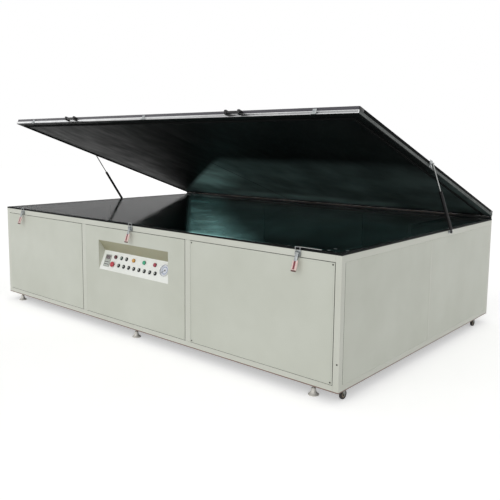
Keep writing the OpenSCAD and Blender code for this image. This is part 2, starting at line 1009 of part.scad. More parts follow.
// The screws of the right front panel and of the rear panels
module panel_screws() {
    color("#3c3d3c") {
        translate([bay_w + mullion_w, -half_d - panel_proud, rail_low + panel_gap]) {
            panel_corners(front_panel_w) {
                panel_screw(fold + panel_proud);
            }
        }
        for (bay = [-1, 0, 1]) {
            translate([bay * (bay_w + mullion_w), half_d, rail_low + panel_gap]) {
                rotate([0, 0, 180]) {
                    panel_corners(front_panel_w) {
                        panel_screw(fold);
                    }
                }
            }
        }
    }
}

// One screw through a panel's face at y = 0, as far as the strip behind
module panel_screw(reach) {
    head_h = 2.5;
    rotate([90, 0, 0]) {
        cylinder(r = screw_r, h = head_h);
        translate([0, 0, -reach]) {
            cylinder(r = screw_r / 2 - seat_gap / 2, h = reach + cut);
        }
    }
}

// Six levelling feet: a bell base, a threaded stud and a lock nut under the frame
module levelling_feet() {
    base_h = 6;
    bell_h = 22;
    stud_r = 6;
    nut_r = 11;
    nut_h = 10;
    color("#c2c3bf") {
        for (x = foot_xs, y = foot_ys) {
            translate([x, y, 0]) {
                rotate_extrude() {
                    polygon([[0, 0], [foot_r, 0], [foot_r, base_h], [foot_r / 2, bell_h - 4],
                        [foot_r / 3, bell_h], [0, bell_h]]);
                }
                translate([0, 0, bell_h - cut]) {
                    cylinder(r = stud_r, h = foot_h - bell_h + cut);
                }
                translate([0, 0, foot_h - nut_h]) {
                    cylinder(r = nut_r, h = nut_h, $fn = 6);
                }
            }
        }
    }
}

// The castors' mounting plates: the front two carry a kingpin, the rear two a fixed fork
module castor_plates() {
    color("#8c8e8a") {
        for (at = [[castor_x, castor_front_y], [-castor_x, castor_inner_y], [castor_x, castor_rear_y],
            [-castor_x, castor_rear_y]]) {
            translate([at[0] - castor_plate_w / 2, at[1] - castor_plate_w / 2, castor_top_z]) {
                cube([castor_plate_w, castor_plate_w, castor_plate_t]);
            }
        }
        for (at = [[castor_x, castor_front_y], [-castor_x, castor_inner_y]]) {
            translate([at[0], at[1], fork_head_z + cut]) {
                cylinder(r = kingpin_r, h = castor_top_z - fork_head_z);
            }
        }
        for (sx = sides) {
            translate([sx * castor_x, castor_rear_y, 0]) {
                castor_fork(castor_top_z + cut);
            }
        }
    }
}

// A castor's fork below its head, with its axle, trailing towards +Y
module castor_fork(head_top) {
    cheek_x = wheel_w / 2 + fork_gap;
    cheek = [
        [-fork_head_r / 2, fork_head_z + cut], [castor_trail - 2 * axle_r, wheel_z],
        [castor_trail + 2 * axle_r, wheel_z], [castor_trail + 2 * axle_r, fork_head_z + cut]
    ];
    translate([0, 0, fork_head_z]) {
        cylinder(r = fork_head_r, h = head_top - fork_head_z);
    }
    for (side = sides) {
        translate([side < 0 ? -cheek_x - fork_t : cheek_x, 0, 0]) {
            extrude_x(cheek, fork_t);
            translate([fork_t / 2, castor_trail, wheel_z]) {
                bar_x(2 * axle_r, fork_t);
            }
        }
    }
    translate([0, castor_trail, wheel_z]) {
        bar_x(axle_r, 2 * (cheek_x + fork_t) + 2);
    }
}

// A front castor's fork, turning on its kingpin
module swivel_fork(sx, y) {
    color("#7d7f7c") {
        translate([sx * castor_x, y, 0]) {
            difference() {
                castor_fork(castor_top_z - seat_gap);
                translate([0, 0, fork_head_z - cut]) {
                    cylinder(r = kingpin_r + run_gap, h = castor_top_z);
                }
            }
        }
    }
}

// A castor's wheel on its axle
module castor_wheel(sx, y) {
    color("#3a3835") {
        translate([sx * castor_x, y + castor_trail, wheel_z]) {
            difference() {
                union() {
                    bar_x(wheel_r, wheel_w - 4);
                    bar_x(wheel_r - 2, wheel_w);
                }
                bar_x(axle_r + run_gap, 2 * wheel_w);
            }
        }
    }
}

// The reflector troughs of the three exposure lamps, on stands on the floor pan
module reflectors() {
    floor_w = reflector_w / 2;
    stand_w = 120;
    wall = 2 * sheet;
    trough = [
        [-floor_w / 2, 0], [floor_w / 2, 0], [reflector_w / 2, trough_h], [reflector_w / 2 - wall, trough_h],
        [floor_w / 2 - sheet, sheet], [sheet - floor_w / 2, sheet], [wall - reflector_w / 2, trough_h],
        [-reflector_w / 2, trough_h]
    ];
    color("#b9bcbc") {
        for (i = [-1, 0, 1]) {
            translate([i * lamp_pitch, 0, pan_top]) {
                translate([-stand_w / 2, -stand_w / 2, 0]) {
                    cube([stand_w, stand_w, stand_h]);
                }
                translate([0, reflector_w / 2, stand_h]) {
                    rotate([90, 0, 0]) {
                        linear_extrude(reflector_w) {
                            polygon(trough);
                        }
                    }
                }
            }
        }
    }
}

// The three metal halide lamps, each in a pair of ceramic holders on its reflector
module exposure_lamps() {
    holder = [30, 24, 44];
    holder_inset = 20;
    bulb_r = 12;
    bulb_l = reflector_w - 2 * (holder[1] + holder_inset);
    color("#e8e6dc") {
        for (i = [-1, 0, 1]) {
            translate([i * lamp_pitch, 0, pan_top + stand_h + sheet]) {
                for (side = sides) {
                    translate([-holder[0] / 2, side * (bulb_l + holder[1]) / 2 - holder[1] / 2, 0]) {
                        cube(holder);
                    }
                }
                translate([0, bulb_l / 2 + cut, holder[2] / 2]) {
                    rotate([90, 0, 0]) {
                        cylinder(r = bulb_r, h = bulb_l + 2 * cut);
                    }
                }
            }
        }
    }
}

// The electrical enclosure with its door, and the three lamp ballasts behind it
module power_box() {
    box = [420, 260, 300];
    wall = 2;
    ballast = [200, 160, 140];
    ballast_pitch = 240;
    ballast_inset = 400;
    box_x = box_gap + foot_left - half_w;
    color("#9fa29a") {
        translate([box_x, -reflector_w / 2 - box_gap - box[1], pan_top]) {
            difference() {
                cube(box);
                translate([wall, -cut, wall]) {
                    cube([box[0] - 2 * wall, box[1] - wall + cut, box[2] - 2 * wall]);
                }
            }
            translate([0, -wall - seat_gap, 0]) {
                cube([box[0], wall, box[2]]);
            }
        }
        for (i = [0:2]) {
            translate([box_x + i * ballast_pitch, post_in_y - ballast_inset, pan_top]) {
                cube(ballast);
            }
        }
    }
}

// The vacuum pump and its motor, on rubber feet on the floor pan
module vacuum_pump() {
    foot_x = 60;
    foot_y = 100;
    foot_wide = 15;
    color("#56606a") {
        translate([pump_x, pump_y, pan_top]) {
            for (x = [-foot_x, foot_x], y = [-foot_y, foot_y]) {
                translate([x, y, 0]) {
                    cylinder(r = foot_wide, h = pump_foot);
                }
            }
            translate([-pump_base[0] / 2, -pump_base[1] / 2, pump_foot]) {
                cube(pump_base);
            }
            translate([0, 0, pump_foot + pump_base[2] / 2 + pump_r]) {
                rotate([90, 0, 0]) {
                    cylinder(r = pump_r, h = pump_motor_l, center = true);
                }
            }
        }
        translate([pump_x - pump_head[0] / 2, pump_head_y, pump_top - pump_head[2]]) {
            cube(pump_head);
        }
    }
}

// The pipe from the pump up to the vacuum port in the rear rail
module vacuum_pipe() {
    pipe_r = 14;
    low_z = pump_top + seat_gap;
    high_z = rail_high + tube / 2;
    from_y = pump_head_y + 2 * pipe_r;
    color("#d2d2ca") {
        translate([pump_x, from_y, low_z]) {
            cylinder(r = pipe_r, h = high_z - low_z);
        }
        translate([pump_x, from_y, high_z]) {
            sphere(r = pipe_r);
            rotate([-90, 0, 0]) {
                cylinder(r = pipe_r, h = post_in_y - seat_gap - from_y);
            }
        }
    }
}

// The cable gland in the lower left of the back, seated in the panel's hole
module cable_gland() {
    nut_h = 8;
    body_l = 24;
    tail_l = 12;
    color("#26272a") {
        translate([-gland_side, half_d, gland_z]) {
            rotate([-90, 0, 0]) {
                difference() {
                    union() {
                        cylinder(r = 1.5 * gland_r, h = nut_h, $fn = 6);
                        cylinder(r = gland_r, h = body_l);
                        translate([0, 0, -tail_l]) {
                            cylinder(r = gland_r - seat_gap, h = tail_l + cut);
                        }
                    }
                    translate([0, 0, -tail_l - cut]) {
                        cylinder(r = gland_bore, h = body_l + tail_l + 2 * cut);
                    }
                }
            }
        }
    }
}

// Turns its child, drawn on the closed lid, up to the open lid
module opened() {
    translate([0, hinge_y, hinge_z]) {
        rotate([-lid_open, 0, 0]) {
            translate([0, -hinge_y, -hinge_z]) {
                children();
            }
        }
    }
}

// A closed-ended tube along X with a vent hole in its lower wall
module capped_tube(corner, run, a, b) {
    translate(corner) {
        difference() {
            cube([run, a, b]);
            translate([lid_wall, lid_wall, lid_wall]) {
                cube([run - 2 * lid_wall, a - 2 * lid_wall, b - 2 * lid_wall]);
            }
            translate([run / 2, a / 2, -cut]) {
                cylinder(r = 2 * lid_wall, h = lid_wall + 2 * cut);
            }
        }
    }
}

// The lid's welded frame: front and back tubes, side tubes and the tubes across
module lid_frame() {
    inner_y = lid_front + lid_tube + weld_gap;
    inner_l = lid_back - lid_front - 2 * (lid_tube + weld_gap);
    step = (2 * lid_half - lid_tube) / (lid_cross_count + 1);
    color("#2a282c") {
        opened() {
            for (y = [lid_front, lid_back - lid_tube]) {
                capped_tube([-lid_half, y, hinge_z], 2 * lid_half, lid_tube, lid_t);
            }
            for (i = [0:lid_cross_count + 1]) {
                box_tube("y", [-lid_half + i * step, inner_y, hinge_z], inner_l, lid_tube, lid_t, lid_wall);
            }
        }
    }
}

// The aluminium bars that clamp the blanket's edge along the front and the sides
module clamp_bars() {
    color("#c3c5c6") {
        opened() {
            translate([-half_w, -half_d, hinge_z]) {
                cube([cab_w, clamp_t, clamp_h]);
            }
            for (x = [-half_w, lid_half]) {
                translate([x, lid_front + seat_gap, hinge_z]) {
                    cube([clamp_t, lid_back - lid_front - seat_gap, clamp_h]);
                }
            }
        }
    }
}

// The rubber blanket under the lid, and the four strips of its sealing bead
module blanket() {
    edge = 2;
    sheet_z = hinge_z - seat_gap - blanket_t;
    bead_z = glass_z + seat_gap;
    bead_h = sheet_z - weld_gap - bead_z;
    bead_x = half_w - edge - bead_inset;
    bead_y = half_d - edge - bead_inset;
    color("#1e2b2b") {
        opened() {
            translate([-half_w + edge, -half_d + edge, sheet_z]) {
                cube([cab_w - 2 * edge, cab_d - 2 * edge, blanket_t]);
            }
            for (y = [-bead_y, bead_y - bead_w]) {
                translate([-bead_x, y, bead_z]) {
                    cube([2 * bead_x, bead_w, bead_h]);
                }
            }
            for (x = [-bead_x, bead_x - bead_w]) {
                translate([x, -bead_y + bead_w + weld_gap, bead_z]) {
                    cube([bead_w, 2 * (bead_y - bead_w - weld_gap), bead_h]);
                }
            }
        }
    }
}

// The latch keepers on the lid's front, and the brackets of the gas struts on its sides
module lid_fittings() {
    keeper_half = 14;
    keeper_h = 36;
    hook_out = 13;
    hook_h = 9;
    hook_t = 2.5;
    keeper_low = hinge_z - 4;
    color("#c2c4c4") {
        opened() {
            for (x = latch_xs) {
                translate([x - keeper_half, -half_d - bracket_t, keeper_low]) {
                    cube([2 * keeper_half, bracket_t, keeper_h]);
                }
                translate([x - keeper_half, -half_d - hook_out, keeper_low]) {
                    cube([2 * keeper_half, hook_out, hook_t]);
                    cube([2 * keeper_half, hook_t, hook_h]);
                }
            }
            for (sx = sides) {
                strut_bracket(sx, closed_head(sx), strut_eye_in, 2 * strut_lift - bracket_t);
            }
        }
    }
}

// The two pull handles on the lid's front: end lugs and a round grip between them
module lid_handles() {
    lug_w = 20;
    lug_h = 30;
    lug_z = hinge_z + 4;
    grip_inset = 3;
    grip_z = lug_z + lug_h / 2;
    color("#3b3d40") {
        opened() {
            for (x = handle_xs) {
                for (side = sides) {
                    translate([x + side * handle_w / 2 - lug_w / 2, -half_d - handle_out, lug_z]) {
                        cube([lug_w, handle_out, lug_h]);
                    }
                }
                translate([x, -half_d - handle_out + grip_r + grip_inset, grip_z]) {
                    bar_x(grip_r, handle_w - lug_w - 2 * seat_gap);
                }
            }
        }
    }
}

// The moving leaves of the three hinges, on the lid's back
module hinge_leaves() {
    knuckle_l = hinge_w / 3 - seat_gap;
    leaf_low = hinge_z + knuckle_r + cut;
    color("#8d8f8c") {
        opened() {
            for (x = hinge_xs) {
                difference() {
                    union() {
                        translate([x, hinge_y, hinge_z]) {
                            bar_x(knuckle_r, knuckle_l);
                        }
                        translate([x - knuckle_l / 2, lid_back, hinge_z]) {
                            cube([knuckle_l, bracket_t, knuckle_r + 2 * cut]);
                        }
                        translate([x - hinge_w / 2, lid_back, leaf_low]) {
                            cube([hinge_w, bracket_t, lid_top - leaf_low]);
                        }
                    }
                    translate([x, hinge_y, hinge_z]) {
                        bar_x(hinge_pin_r + run_gap, hinge_w);
                    }
                }
            }
        }
    }
}

// Places a gas strut's child at its lower pivot, with +Z along the strut
module on_strut(sx) {
    foot = strut_foot(sx);
    translate([sx * strut_x, foot[0], foot[1]]) {
        rotate([strut_open_a(sx) - 90, 0, 0]) {
            children();
        }
    }
}

// A gas strut's cylinder, with its lower eye and the bore that its rod slides in
module strut_cylinder(sx) {
    color("#161616") {
        on_strut(sx) {
            difference() {
                union() {
                    bar_x(strut_eye_r, strut_eye_t);
                    cylinder(r = rod_r, h = strut_neck + cut);
                    translate([0, 0, strut_neck]) {
                        cylinder(r = strut_r, h = strut_body - strut_neck);
                    }
                }
                bar_x(strut_pin_r + run_gap, 2 * strut_eye_t);
                translate([0, 0, strut_neck + cylinder_end]) {
                    cylinder(r = rod_r + run_gap, h = strut_body);
                }
            }
        }
    }
}

// A gas strut's rod and upper eye, drawn out as far as the open lid takes it
module strut_rod(sx) {
    rod_low = strut_body - rod_in_body;
    color("#b4b6b6") {
        on_strut(sx) {
            translate([0, 0, rod_low]) {
                cylinder(r = rod_r, h = strut_open_l(sx) - rod_low);
            }
            translate([0, 0, strut_open_l(sx)]) {
                bar_x(strut_eye_r, strut_eye_t);
            }
        }
    }
}

posts();
rails();
front_panels();
centre_panel();
side_panels();
rear_panels();
floor_pan();
console_tray();
glass_top();
glass_rim();
hinge_bases();
strut_feet();
latch_bases();
timer();
button_bezels();
pilot_lenses();
vacuum_gauge();
panel_screws();
levelling_feet();
castor_plates();
reflectors();
exposure_lamps();
power_box();
vacuum_pump();
vacuum_pipe();
cable_gland();
lid_frame();
clamp_bars();
blanket();
lid_fittings();
lid_handles();
hinge_leaves();
strut_cylinder(-1);  // strut_cylinder_left
strut_cylinder(1);  // strut_cylinder_right
strut_rod(-1);  // strut_rod_left
strut_rod(1);  // strut_rod_right
latch_lever(0);  // latch_lever_left
latch_lever(1);  // latch_lever_middle
latch_lever(2);  // latch_lever_right
latch_bail(0);  // latch_bail_left
latch_bail(1);  // latch_bail_middle
latch_bail(2);  // latch_bail_right
row_button(1);  // button_1
row_button(2);  // button_2
row_button(3);  // button_3
row_button(4);  // button_4
row_button(5);  // button_5
row_button(6);  // button_6
row_button(7);  // button_7
row_button(8);  // button_8
start_button();
reset_button();
stop_button();
gauge_needle();
swivel_fork(-1, castor_inner_y);  // castor_fork_left
swivel_fork(1, castor_front_y);  // castor_fork_right
castor_wheel(-1, castor_inner_y);  // front_wheel_left
castor_wheel(1, castor_front_y);  // front_wheel_right
castor_wheel(-1, castor_rear_y);  // rear_wheel_left
castor_wheel(1, castor_rear_y);  // rear_wheel_right
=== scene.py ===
# %% [markdown]
# # A screen printing exposure unit
# The cabinet is a steel frame clad in painted sheet. A glass plate lies on top, a lid with a rubber
# blanket folds down on it, and a small console sits in a recess in front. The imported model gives
# every rigid part its place, so this script dresses those parts and adds what a solid model leaves out.

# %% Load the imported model
import json
import math
import bpy
from mathutils import Matrix, Vector


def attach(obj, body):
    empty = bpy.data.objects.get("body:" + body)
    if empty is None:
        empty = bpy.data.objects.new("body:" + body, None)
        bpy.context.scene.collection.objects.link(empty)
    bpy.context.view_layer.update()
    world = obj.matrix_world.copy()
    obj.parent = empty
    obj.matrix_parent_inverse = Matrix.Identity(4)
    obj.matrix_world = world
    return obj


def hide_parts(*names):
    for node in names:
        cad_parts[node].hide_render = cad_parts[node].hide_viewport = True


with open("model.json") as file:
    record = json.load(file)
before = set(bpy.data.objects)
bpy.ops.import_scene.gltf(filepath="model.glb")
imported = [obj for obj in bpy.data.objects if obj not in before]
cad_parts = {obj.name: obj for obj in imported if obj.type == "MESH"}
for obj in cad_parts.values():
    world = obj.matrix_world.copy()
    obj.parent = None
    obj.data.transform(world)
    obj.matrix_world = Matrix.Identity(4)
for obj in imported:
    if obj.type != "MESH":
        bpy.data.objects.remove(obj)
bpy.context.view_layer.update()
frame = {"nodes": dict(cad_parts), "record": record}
nodes = frame["nodes"]
MM = 0.001

# %% [markdown]
# ## Camera
# The photograph was taken from the right of the cabinet, at about eye level, and looks down a little.
# The place and angles come from a fit of the cabinet's corners. The focal length and the picture's
# centre come from the same fit, in pixels, and become a lens of 44 mm and a small shift.

# %% Camera
CAMERA_PLACE = Vector((3.5503, -4.0029, 1.4490))
AZIMUTH = math.radians(-41.323)
ELEVATION = math.radians(7.055)
ROLL = math.radians(0.481)
SENSOR = 36.0
PICTURE = 500
FOCAL_PIXELS = 616.1
CENTRE_PIXEL = (237.67, 221.32)


def camera_matrix(place, azimuth, elevation, roll):
    forward = Vector((math.sin(azimuth) * math.cos(elevation), math.cos(azimuth) * math.cos(elevation),
                      -math.sin(elevation)))
    side = Vector((math.cos(azimuth), -math.sin(azimuth), 0))
    above = side.cross(forward)
    right = side * math.cos(roll) + above * math.sin(roll)
    up = above * math.cos(roll) - side * math.sin(roll)
    return Matrix.Translation(place) @ Matrix((right, up, -forward)).transposed().to_4x4()


camera_data = bpy.data.cameras.new("camera")
camera_data.sensor_width = SENSOR
camera_data.lens = FOCAL_PIXELS * SENSOR / PICTURE
camera_data.shift_x = (PICTURE / 2 - CENTRE_PIXEL[0]) / PICTURE
camera_data.shift_y = (CENTRE_PIXEL[1] - PICTURE / 2) / PICTURE
camera = bpy.data.objects.new("camera", camera_data)
camera.matrix_world = camera_matrix(CAMERA_PLACE, AZIMUTH, ELEVATION, ROLL)
bpy.context.collection.objects.link(camera)
bpy.context.scene.camera = camera
print("lens", round(camera_data.lens, 2))

# %% [markdown]
# ## Helpers for materials
# A colour is written as the hex value that a screen shows, and the renderer wants linear light. One
# function does that sum. Another adds a node, sets its values and plugs in what feeds it, so each
# material reads as a short list.

# %% Helpers for materials
# A Mix node set to colours has these sockets
FACTOR, COLOUR_A, COLOUR_B, MIXED = 0, 6, 7, 2


def linear(hex_text):
    parts = [int(hex_text[i:i + 2], 16) / 255 for i in (0, 2, 4)]
    return tuple(p / 12.92 if p <= 0.04045 else ((p + 0.055) / 1.055) ** 2.4 for p in parts) + (1.0,)


def add_node(material, kind, settings=None, feeds=None):
    node = material.node_tree.nodes.new("ShaderNode" + kind)
    for key, value in (settings or {}).items():
        if isinstance(key, str) and key not in node.inputs:
            setattr(node, key, value)
        else:
            node.inputs[key].default_value = value
    for key, source in (feeds or {}).items():
        material.node_tree.links.new(source, node.inputs[key])
    return node


def new_material(name):
    """An empty material, and its Object coordinates, which are in metres."""
    material = bpy.data.materials.new(name)
    material.use_nodes = True
    material.node_tree.nodes.clear()
    return material, add_node(material, "TexCoord").outputs["Object"]


def surfaced(material, settings, feeds):
    """Ends a material with its shader."""
    shader = add_node(material, "BsdfPrincipled", settings, feeds)
    add_node(material, "OutputMaterial", None, {"Surface": shader.outputs[0]})
    return material


def layered(material, colour, layers):
    """A colour with others laid over it, each where its mask is 1."""
    for shade, mask in layers:
        mix = add_node(material, "Mix", {"data_type": "RGBA", COLOUR_B: linear(shade)}, {FACTOR: mask})
        if isinstance(colour, str):
            mix.inputs[COLOUR_A].default_value = linear(colour)
        else:
            material.node_tree.links.new(colour, mix.inputs[COLOUR_A])
        colour = mix.outputs[MIXED]
    return colour


def ranged(material, value, low, high, to_low=0.0, to_high=1.0):
    """A value stretched from one range to another, and held at its ends."""
    return add_node(material, "MapRange", {"From Min": low, "From Max": high, "To Min": to_low,
                                           "To Max": to_high}, {"Value": value}).outputs[0]


def worked(material, operation, value, number=0.0):
    """One sum on a value."""
    return add_node(material, "Math", {"operation": operation, 1: number}, {0: value}).outputs[0]


def combined(material, operation, values):
    """Several masks multiplied, or the greatest of them."""
    total = values[0]
    for value in values[1:]:
        total = add_node(material, "Math", {"operation": operation}, {0: total, 1: value}).outputs[0]
    return total


# %% [markdown]
# ## Patterns that most finishes share
# A finish is a colour that drifts a little, a roughness that drifts with it and a fine relief. Each
# pattern is a noise whose grain is given in millimetres. Object coordinates are in metres, so the
# noise scale is a thousand divided by that size. A grain too fine for the picture is drawn coarser.

# %% Helpers for a finish
def patches(material, place, size_mm, low, high, detail=2.0, stretch=None, span=(0.3, 0.7)):
    """A noise, and the same noise spread so that the given span of it runs from low to high."""
    if stretch:
        place = add_node(material, "Mapping", {"Scale": stretch}, {"Vector": place}).outputs[0]
    cloud = add_node(material, "TexNoise", {"Scale": 1000 / size_mm, "Detail": detail},
                     {"Vector": place}).outputs["Fac"]
    return cloud, ranged(material, cloud, *span, low, high)


def finish(name, dark, light, drift_mm, grain_mm, relief_mm, roughness, stretch=None, over=(),
           specular=0.5, **surface):
    """A surface whose colour drifts between two shades, with a fine grain in its relief."""
    material, place = new_material(name)
    drift = patches(material, place, drift_mm, 0.0, 1.0, 3.0)[1]
    grain, gloss = patches(material, place, grain_mm, *roughness, stretch=stretch)
    layers = [(light, drift)] + [(shade, where(material, place)) for shade, where in over]
    colour = layered(material, dark, layers)
    relief = add_node(material, "Bump", {"Strength": 0.5, "Distance": relief_mm * MM}, {"Height": grain})
    return surfaced(material, {"Specular IOR Level": specular, **surface},
                    {"Base Color": colour, "Roughness": gloss, "Normal": relief.outputs[0]})


# %% [markdown]
# ## Places on the cabinet
# One sprayed part can differ from place to place. The inside faces of the cabinet are painted near
# black, which stands in for the shade inside the closed box: painted shade. The console's overhang is
# painted a darker olive, which stands in for the shade on a face that looks down: painted shade. The
# lowest edge of the frame shows the red primer where the floor has chipped it. Each is a mask worked
# out from Object coordinates, from 0 to 1.

# %% Masks by place
def inside(*reaches):
    """A mask that is 1 where |x| and |y| are less than the given distances in millimetres."""
    def mask(material, place):
        axes = add_node(material, "SeparateXYZ", None, {0: place}).outputs
        parts = []
        for axis, reach in enumerate(reaches):
            size = worked(material, "ABSOLUTE", axes[axis])
            parts.append(worked(material, "LESS_THAN", size, reach * MM))
        return combined(material, "MULTIPLY", parts)
    return mask


def past(axis, sign, level, soft):
    """A mask that goes from 0 to 1 where |x|, y or z passes a level, over a soft edge, in millimetres."""
    def mask(material, place):
        value = add_node(material, "SeparateXYZ", None, {0: place}).outputs[axis]
        if axis == 0:
            value = worked(material, "ABSOLUTE", value)
        return ranged(material, value, (level - sign * soft) * MM, level * MM)
    return mask


X_AXIS, Z_AXIS = 0, 2
# The inside faces are painted near black: painted shade for the dark inside of the closed cabinet
painted_shade_inside = ("0B0C0B", inside(1798.9, 1148.9))
chipped_edge = ("7A5E54", past(Z_AXIS, -1, 75.5, 3))
# The console's overhang is painted a darker olive: painted shade on a face that looks down
painted_shade_overhang = ("9D9B80", past(Z_AXIS, 1, 622, 1))
side_walls = ("C6C8BB", past(X_AXIS, 1, 399.0, 0.5))
# The ends of the lid's tubes are painted near black: painted shade on the tubes' sides
painted_shade_lid_ends = ("131215", past(X_AXIS, 1, 1795, 2))

# %% [markdown]
# ## Paint
# The cabinet is welded from square tube and clad in thin sheet, sprayed with a warm grey powder and
# baked. Baked powder has a faint orange peel, a few millimetres from hump to hump, and it is duller
# than wet paint. Large panels differ a little in shade from place to place.

# %% Paint finishes
frame_paint = finish("powder_coated_tube", "CBCDC2", "D2D4CA", 420, 3.0, 0.12, (0.34, 0.46),
                     over=(chipped_edge, painted_shade_inside))
panel_paint = finish("powder_coated_sheet", "C6C9BD", "CED1C6", 360, 3.0, 0.12, (0.36, 0.50),
                     over=(painted_shade_inside,))
console_paint = finish("powder_coated_console", "E9ECE5", "F4F6F1", 120, 2.5, 0.10, (0.32, 0.44),
                       over=(painted_shade_overhang, side_walls))
# Primer is brushed on thin and dries dull
floor_paint = finish("black_primed_sheet", "141513", "1D1E1B", 200, 2.0, 0.15, (0.60, 0.75))
# Stove enamel is hard and smooth: matt on the rim, half gloss on the lid and the struts
rim_paint = finish("black_stoved_enamel", "070808", "101111", 150, 2.0, 0.10, (0.55, 0.70), specular=0.12)
# The lid's paint turns near black at the ends of its tubes: painted shade
lid_paint = finish("grey_stoved_enamel", "35333A", "45434B", 200, 2.5, 0.10, (0.30, 0.42), over=(painted_shade_lid_ends,))
strut_paint = finish("black_stoved_tube", "08080A", "0E0E10", 90, 4.0, 0.04, (0.42, 0.54), specular=0.25)
# Hammer finish draws together in pits 6 mm wide. Cast iron keeps the sand's grain under its paint
box_paint = finish("hammer_finish_enamel", "8F948F", "A5AAA4", 60, 6.0, 0.40, (0.30, 0.45))
iron_paint = finish("painted_cast_iron", "38464A", "46565A", 30, 1.6, 0.50, (0.45, 0.60))
print("materials", len(bpy.data.materials))

# %% [markdown]
# ## Bare and plated metals
# Rolled aluminium carries fine lines along its length, so the grain noise is squeezed in that
# direction. Zinc plate is a bluish grey with a spangle. Chrome is nearly even, and only its roughness
# drifts. Metals keep the default index of refraction.

# %% Metal finishes
ALONG_X = (0.02, 1.0, 1.0)
zinc = finish("zinc_plated_steel", "8F9497", "B4B7B6", 14, 1.2, 0.06, (0.26, 0.42), Metallic=1.0)
# The rings of the controls are chrome painted dark grey: a painted dark reflection
painted_reflection_chrome = finish("chrome_painted_dark_reflection", "3A3B3E", "48494C", 20, 6.0, 0.01, (0.10, 0.18), Metallic=1.0)
chrome = finish("chrome_plated_steel", "C9CBCC", "DADBDB", 20, 6.0, 0.01, (0.05, 0.12), Metallic=1.0)
aluminium = finish("mill_aluminium", "C9CACB", "DADBDB", 90, 1.2, 0.05, (0.30, 0.42), ALONG_X, Metallic=1.0)
# Reflector sheet is embossed with pebbles 7 mm wide that scatter the lamp's light
reflector_metal = finish("pebbled_aluminium", "D0D2D3", "E3E4E4", 40, 7.0, 0.60, (0.16, 0.26), Metallic=1.0)
# The bars on the sides are darker and duller: the dark grey is a painted reflection of dark surroundings
painted_reflection_side_metal = finish("aluminium_painted_dark_reflection", "4A4E4D", "626664", 70, 1.4, 0.08, (0.42, 0.58), Metallic=0.85)
# Black oxide is a thin skin, oiled and a little brown. Turned steel is grey, and a ground rod is shiny
screw_metal = finish("black_oxide_steel", "26241F", "35322C", 8, 0.8, 0.05, (0.40, 0.55), Metallic=0.8)
dull_steel = finish("turned_steel", "6E706C", "8B8D88", 25, 0.8, 0.05, (0.38, 0.52), Metallic=1.0)
rod_metal = finish("ground_rod_steel", "8D8F8E", "A2A4A3", 40, 1.0, 0.01, (0.22, 0.32), Metallic=1.0)
# The feet are cast zinc under a satin lacquer, so they look nearly white
cast_zinc = finish("satin_zinc_casting", "C9C6BF", "DBD8D1", 22, 1.4, 0.10, (0.40, 0.55), Metallic=0.25)
print("materials", len(bpy.data.materials))

# %% [markdown]
# ## Plastics, rubber and ceramic
# Moulded parts are even in colour and take their character from gloss: caps and handles are shiny ABS
# and nylon, the timer's case is spark-eroded to a dull grain, vinyl grips are soft and half dull.
# Wheels, feet and seals are dull rubber and foam.

# %% Plastic and rubber finishes
case_plastic = finish("moulded_abs_case", "A6A9A1", "B2B5AE", 40, 0.9, 0.10, (0.45, 0.58))
window_plastic = finish("smoked_acrylic_window", "50464C", "5F545A", 14, 2.0, 0.02, (0.10, 0.20))
key_plastic = finish("moulded_pale_keys", "B9C2BA", "C9D0C8", 12, 1.0, 0.05, (0.40, 0.52))
digit_plastic = finish("lit_display_segments", "B3A3A0", "C2B2AE", 6, 1.0, 0.02, (0.30, 0.40))
black_plastic = finish("moulded_black_abs", "0B0B0C", "151516", 20, 2.0, 0.02, (0.16, 0.28))
green_plastic = finish("moulded_green_abs", "0F3D2C", "164B37", 20, 2.0, 0.02, (0.16, 0.28))
red_plastic = finish("moulded_red_abs", "B4303C", "C23A46", 20, 2.0, 0.02, (0.18, 0.30))
# The lever grips are drawn pale round a red pad: a painted highlight along a red grip's edges
painted_highlight_vinyl = finish("pale_vinyl_painted_highlight", "D9BDB6", "E6CFC8", 12, 1.5, 0.05, (0.35, 0.50))
grip_vinyl = finish("moulded_red_vinyl", "6E1522", "842030", 12, 1.5, 0.05, (0.28, 0.42),
                    **{"Coat Weight": 0.3})
tip_vinyl = finish("dipped_brown_vinyl", "4A2722", "5E352E", 12, 1.5, 0.05, (0.35, 0.50))
nylon = finish("black_nylon", "0A0A0B", "131314", 30, 2.5, 0.03, (0.14, 0.26))
pipe_plastic = finish("black_pvc_pipe", "141616", "1E2020", 60, 3.0, 0.05, (0.35, 0.48))
wheel_rubber = finish("moulded_hard_rubber", "17130F", "241E19", 15, 1.0, 0.08, (0.55, 0.70))
hub_plastic = finish("moulded_brown_nylon", "6E6252", "807360", 15, 1.0, 0.05, (0.45, 0.60))
foot_rubber = finish("black_foot_rubber", "171717", "242322", 15, 1.0, 0.10, (0.55, 0.70))
foam_rubber = finish("closed_cell_foam_strip", "131313", "1E1D1C", 30, 1.5, 0.30, (0.70, 0.85))
bead_rubber = finish("moulded_seal_rubber", "080909", "0E1010", 60, 2.0, 0.10, (0.70, 0.85), specular=0.08)
# Tape is a woven cloth that has faded
tape_fabric = finish("pinkish_brown_seam_tape", "A2857A", "C2A598", 60, 1.2, 0.15, (0.60, 0.75))
ceramic = finish("glazed_ceramic", "E4E1D8", "EFEDE6", 20, 2.0, 0.03, (0.25, 0.38))
print("materials", len(bpy.data.materials))

# %% [markdown]
# ## Lamp lenses
# The lamps on the console are coloured polycarbonate over a small bulb. They are moulded with the
# colour in them, so some light goes through, and the surface is glossy.

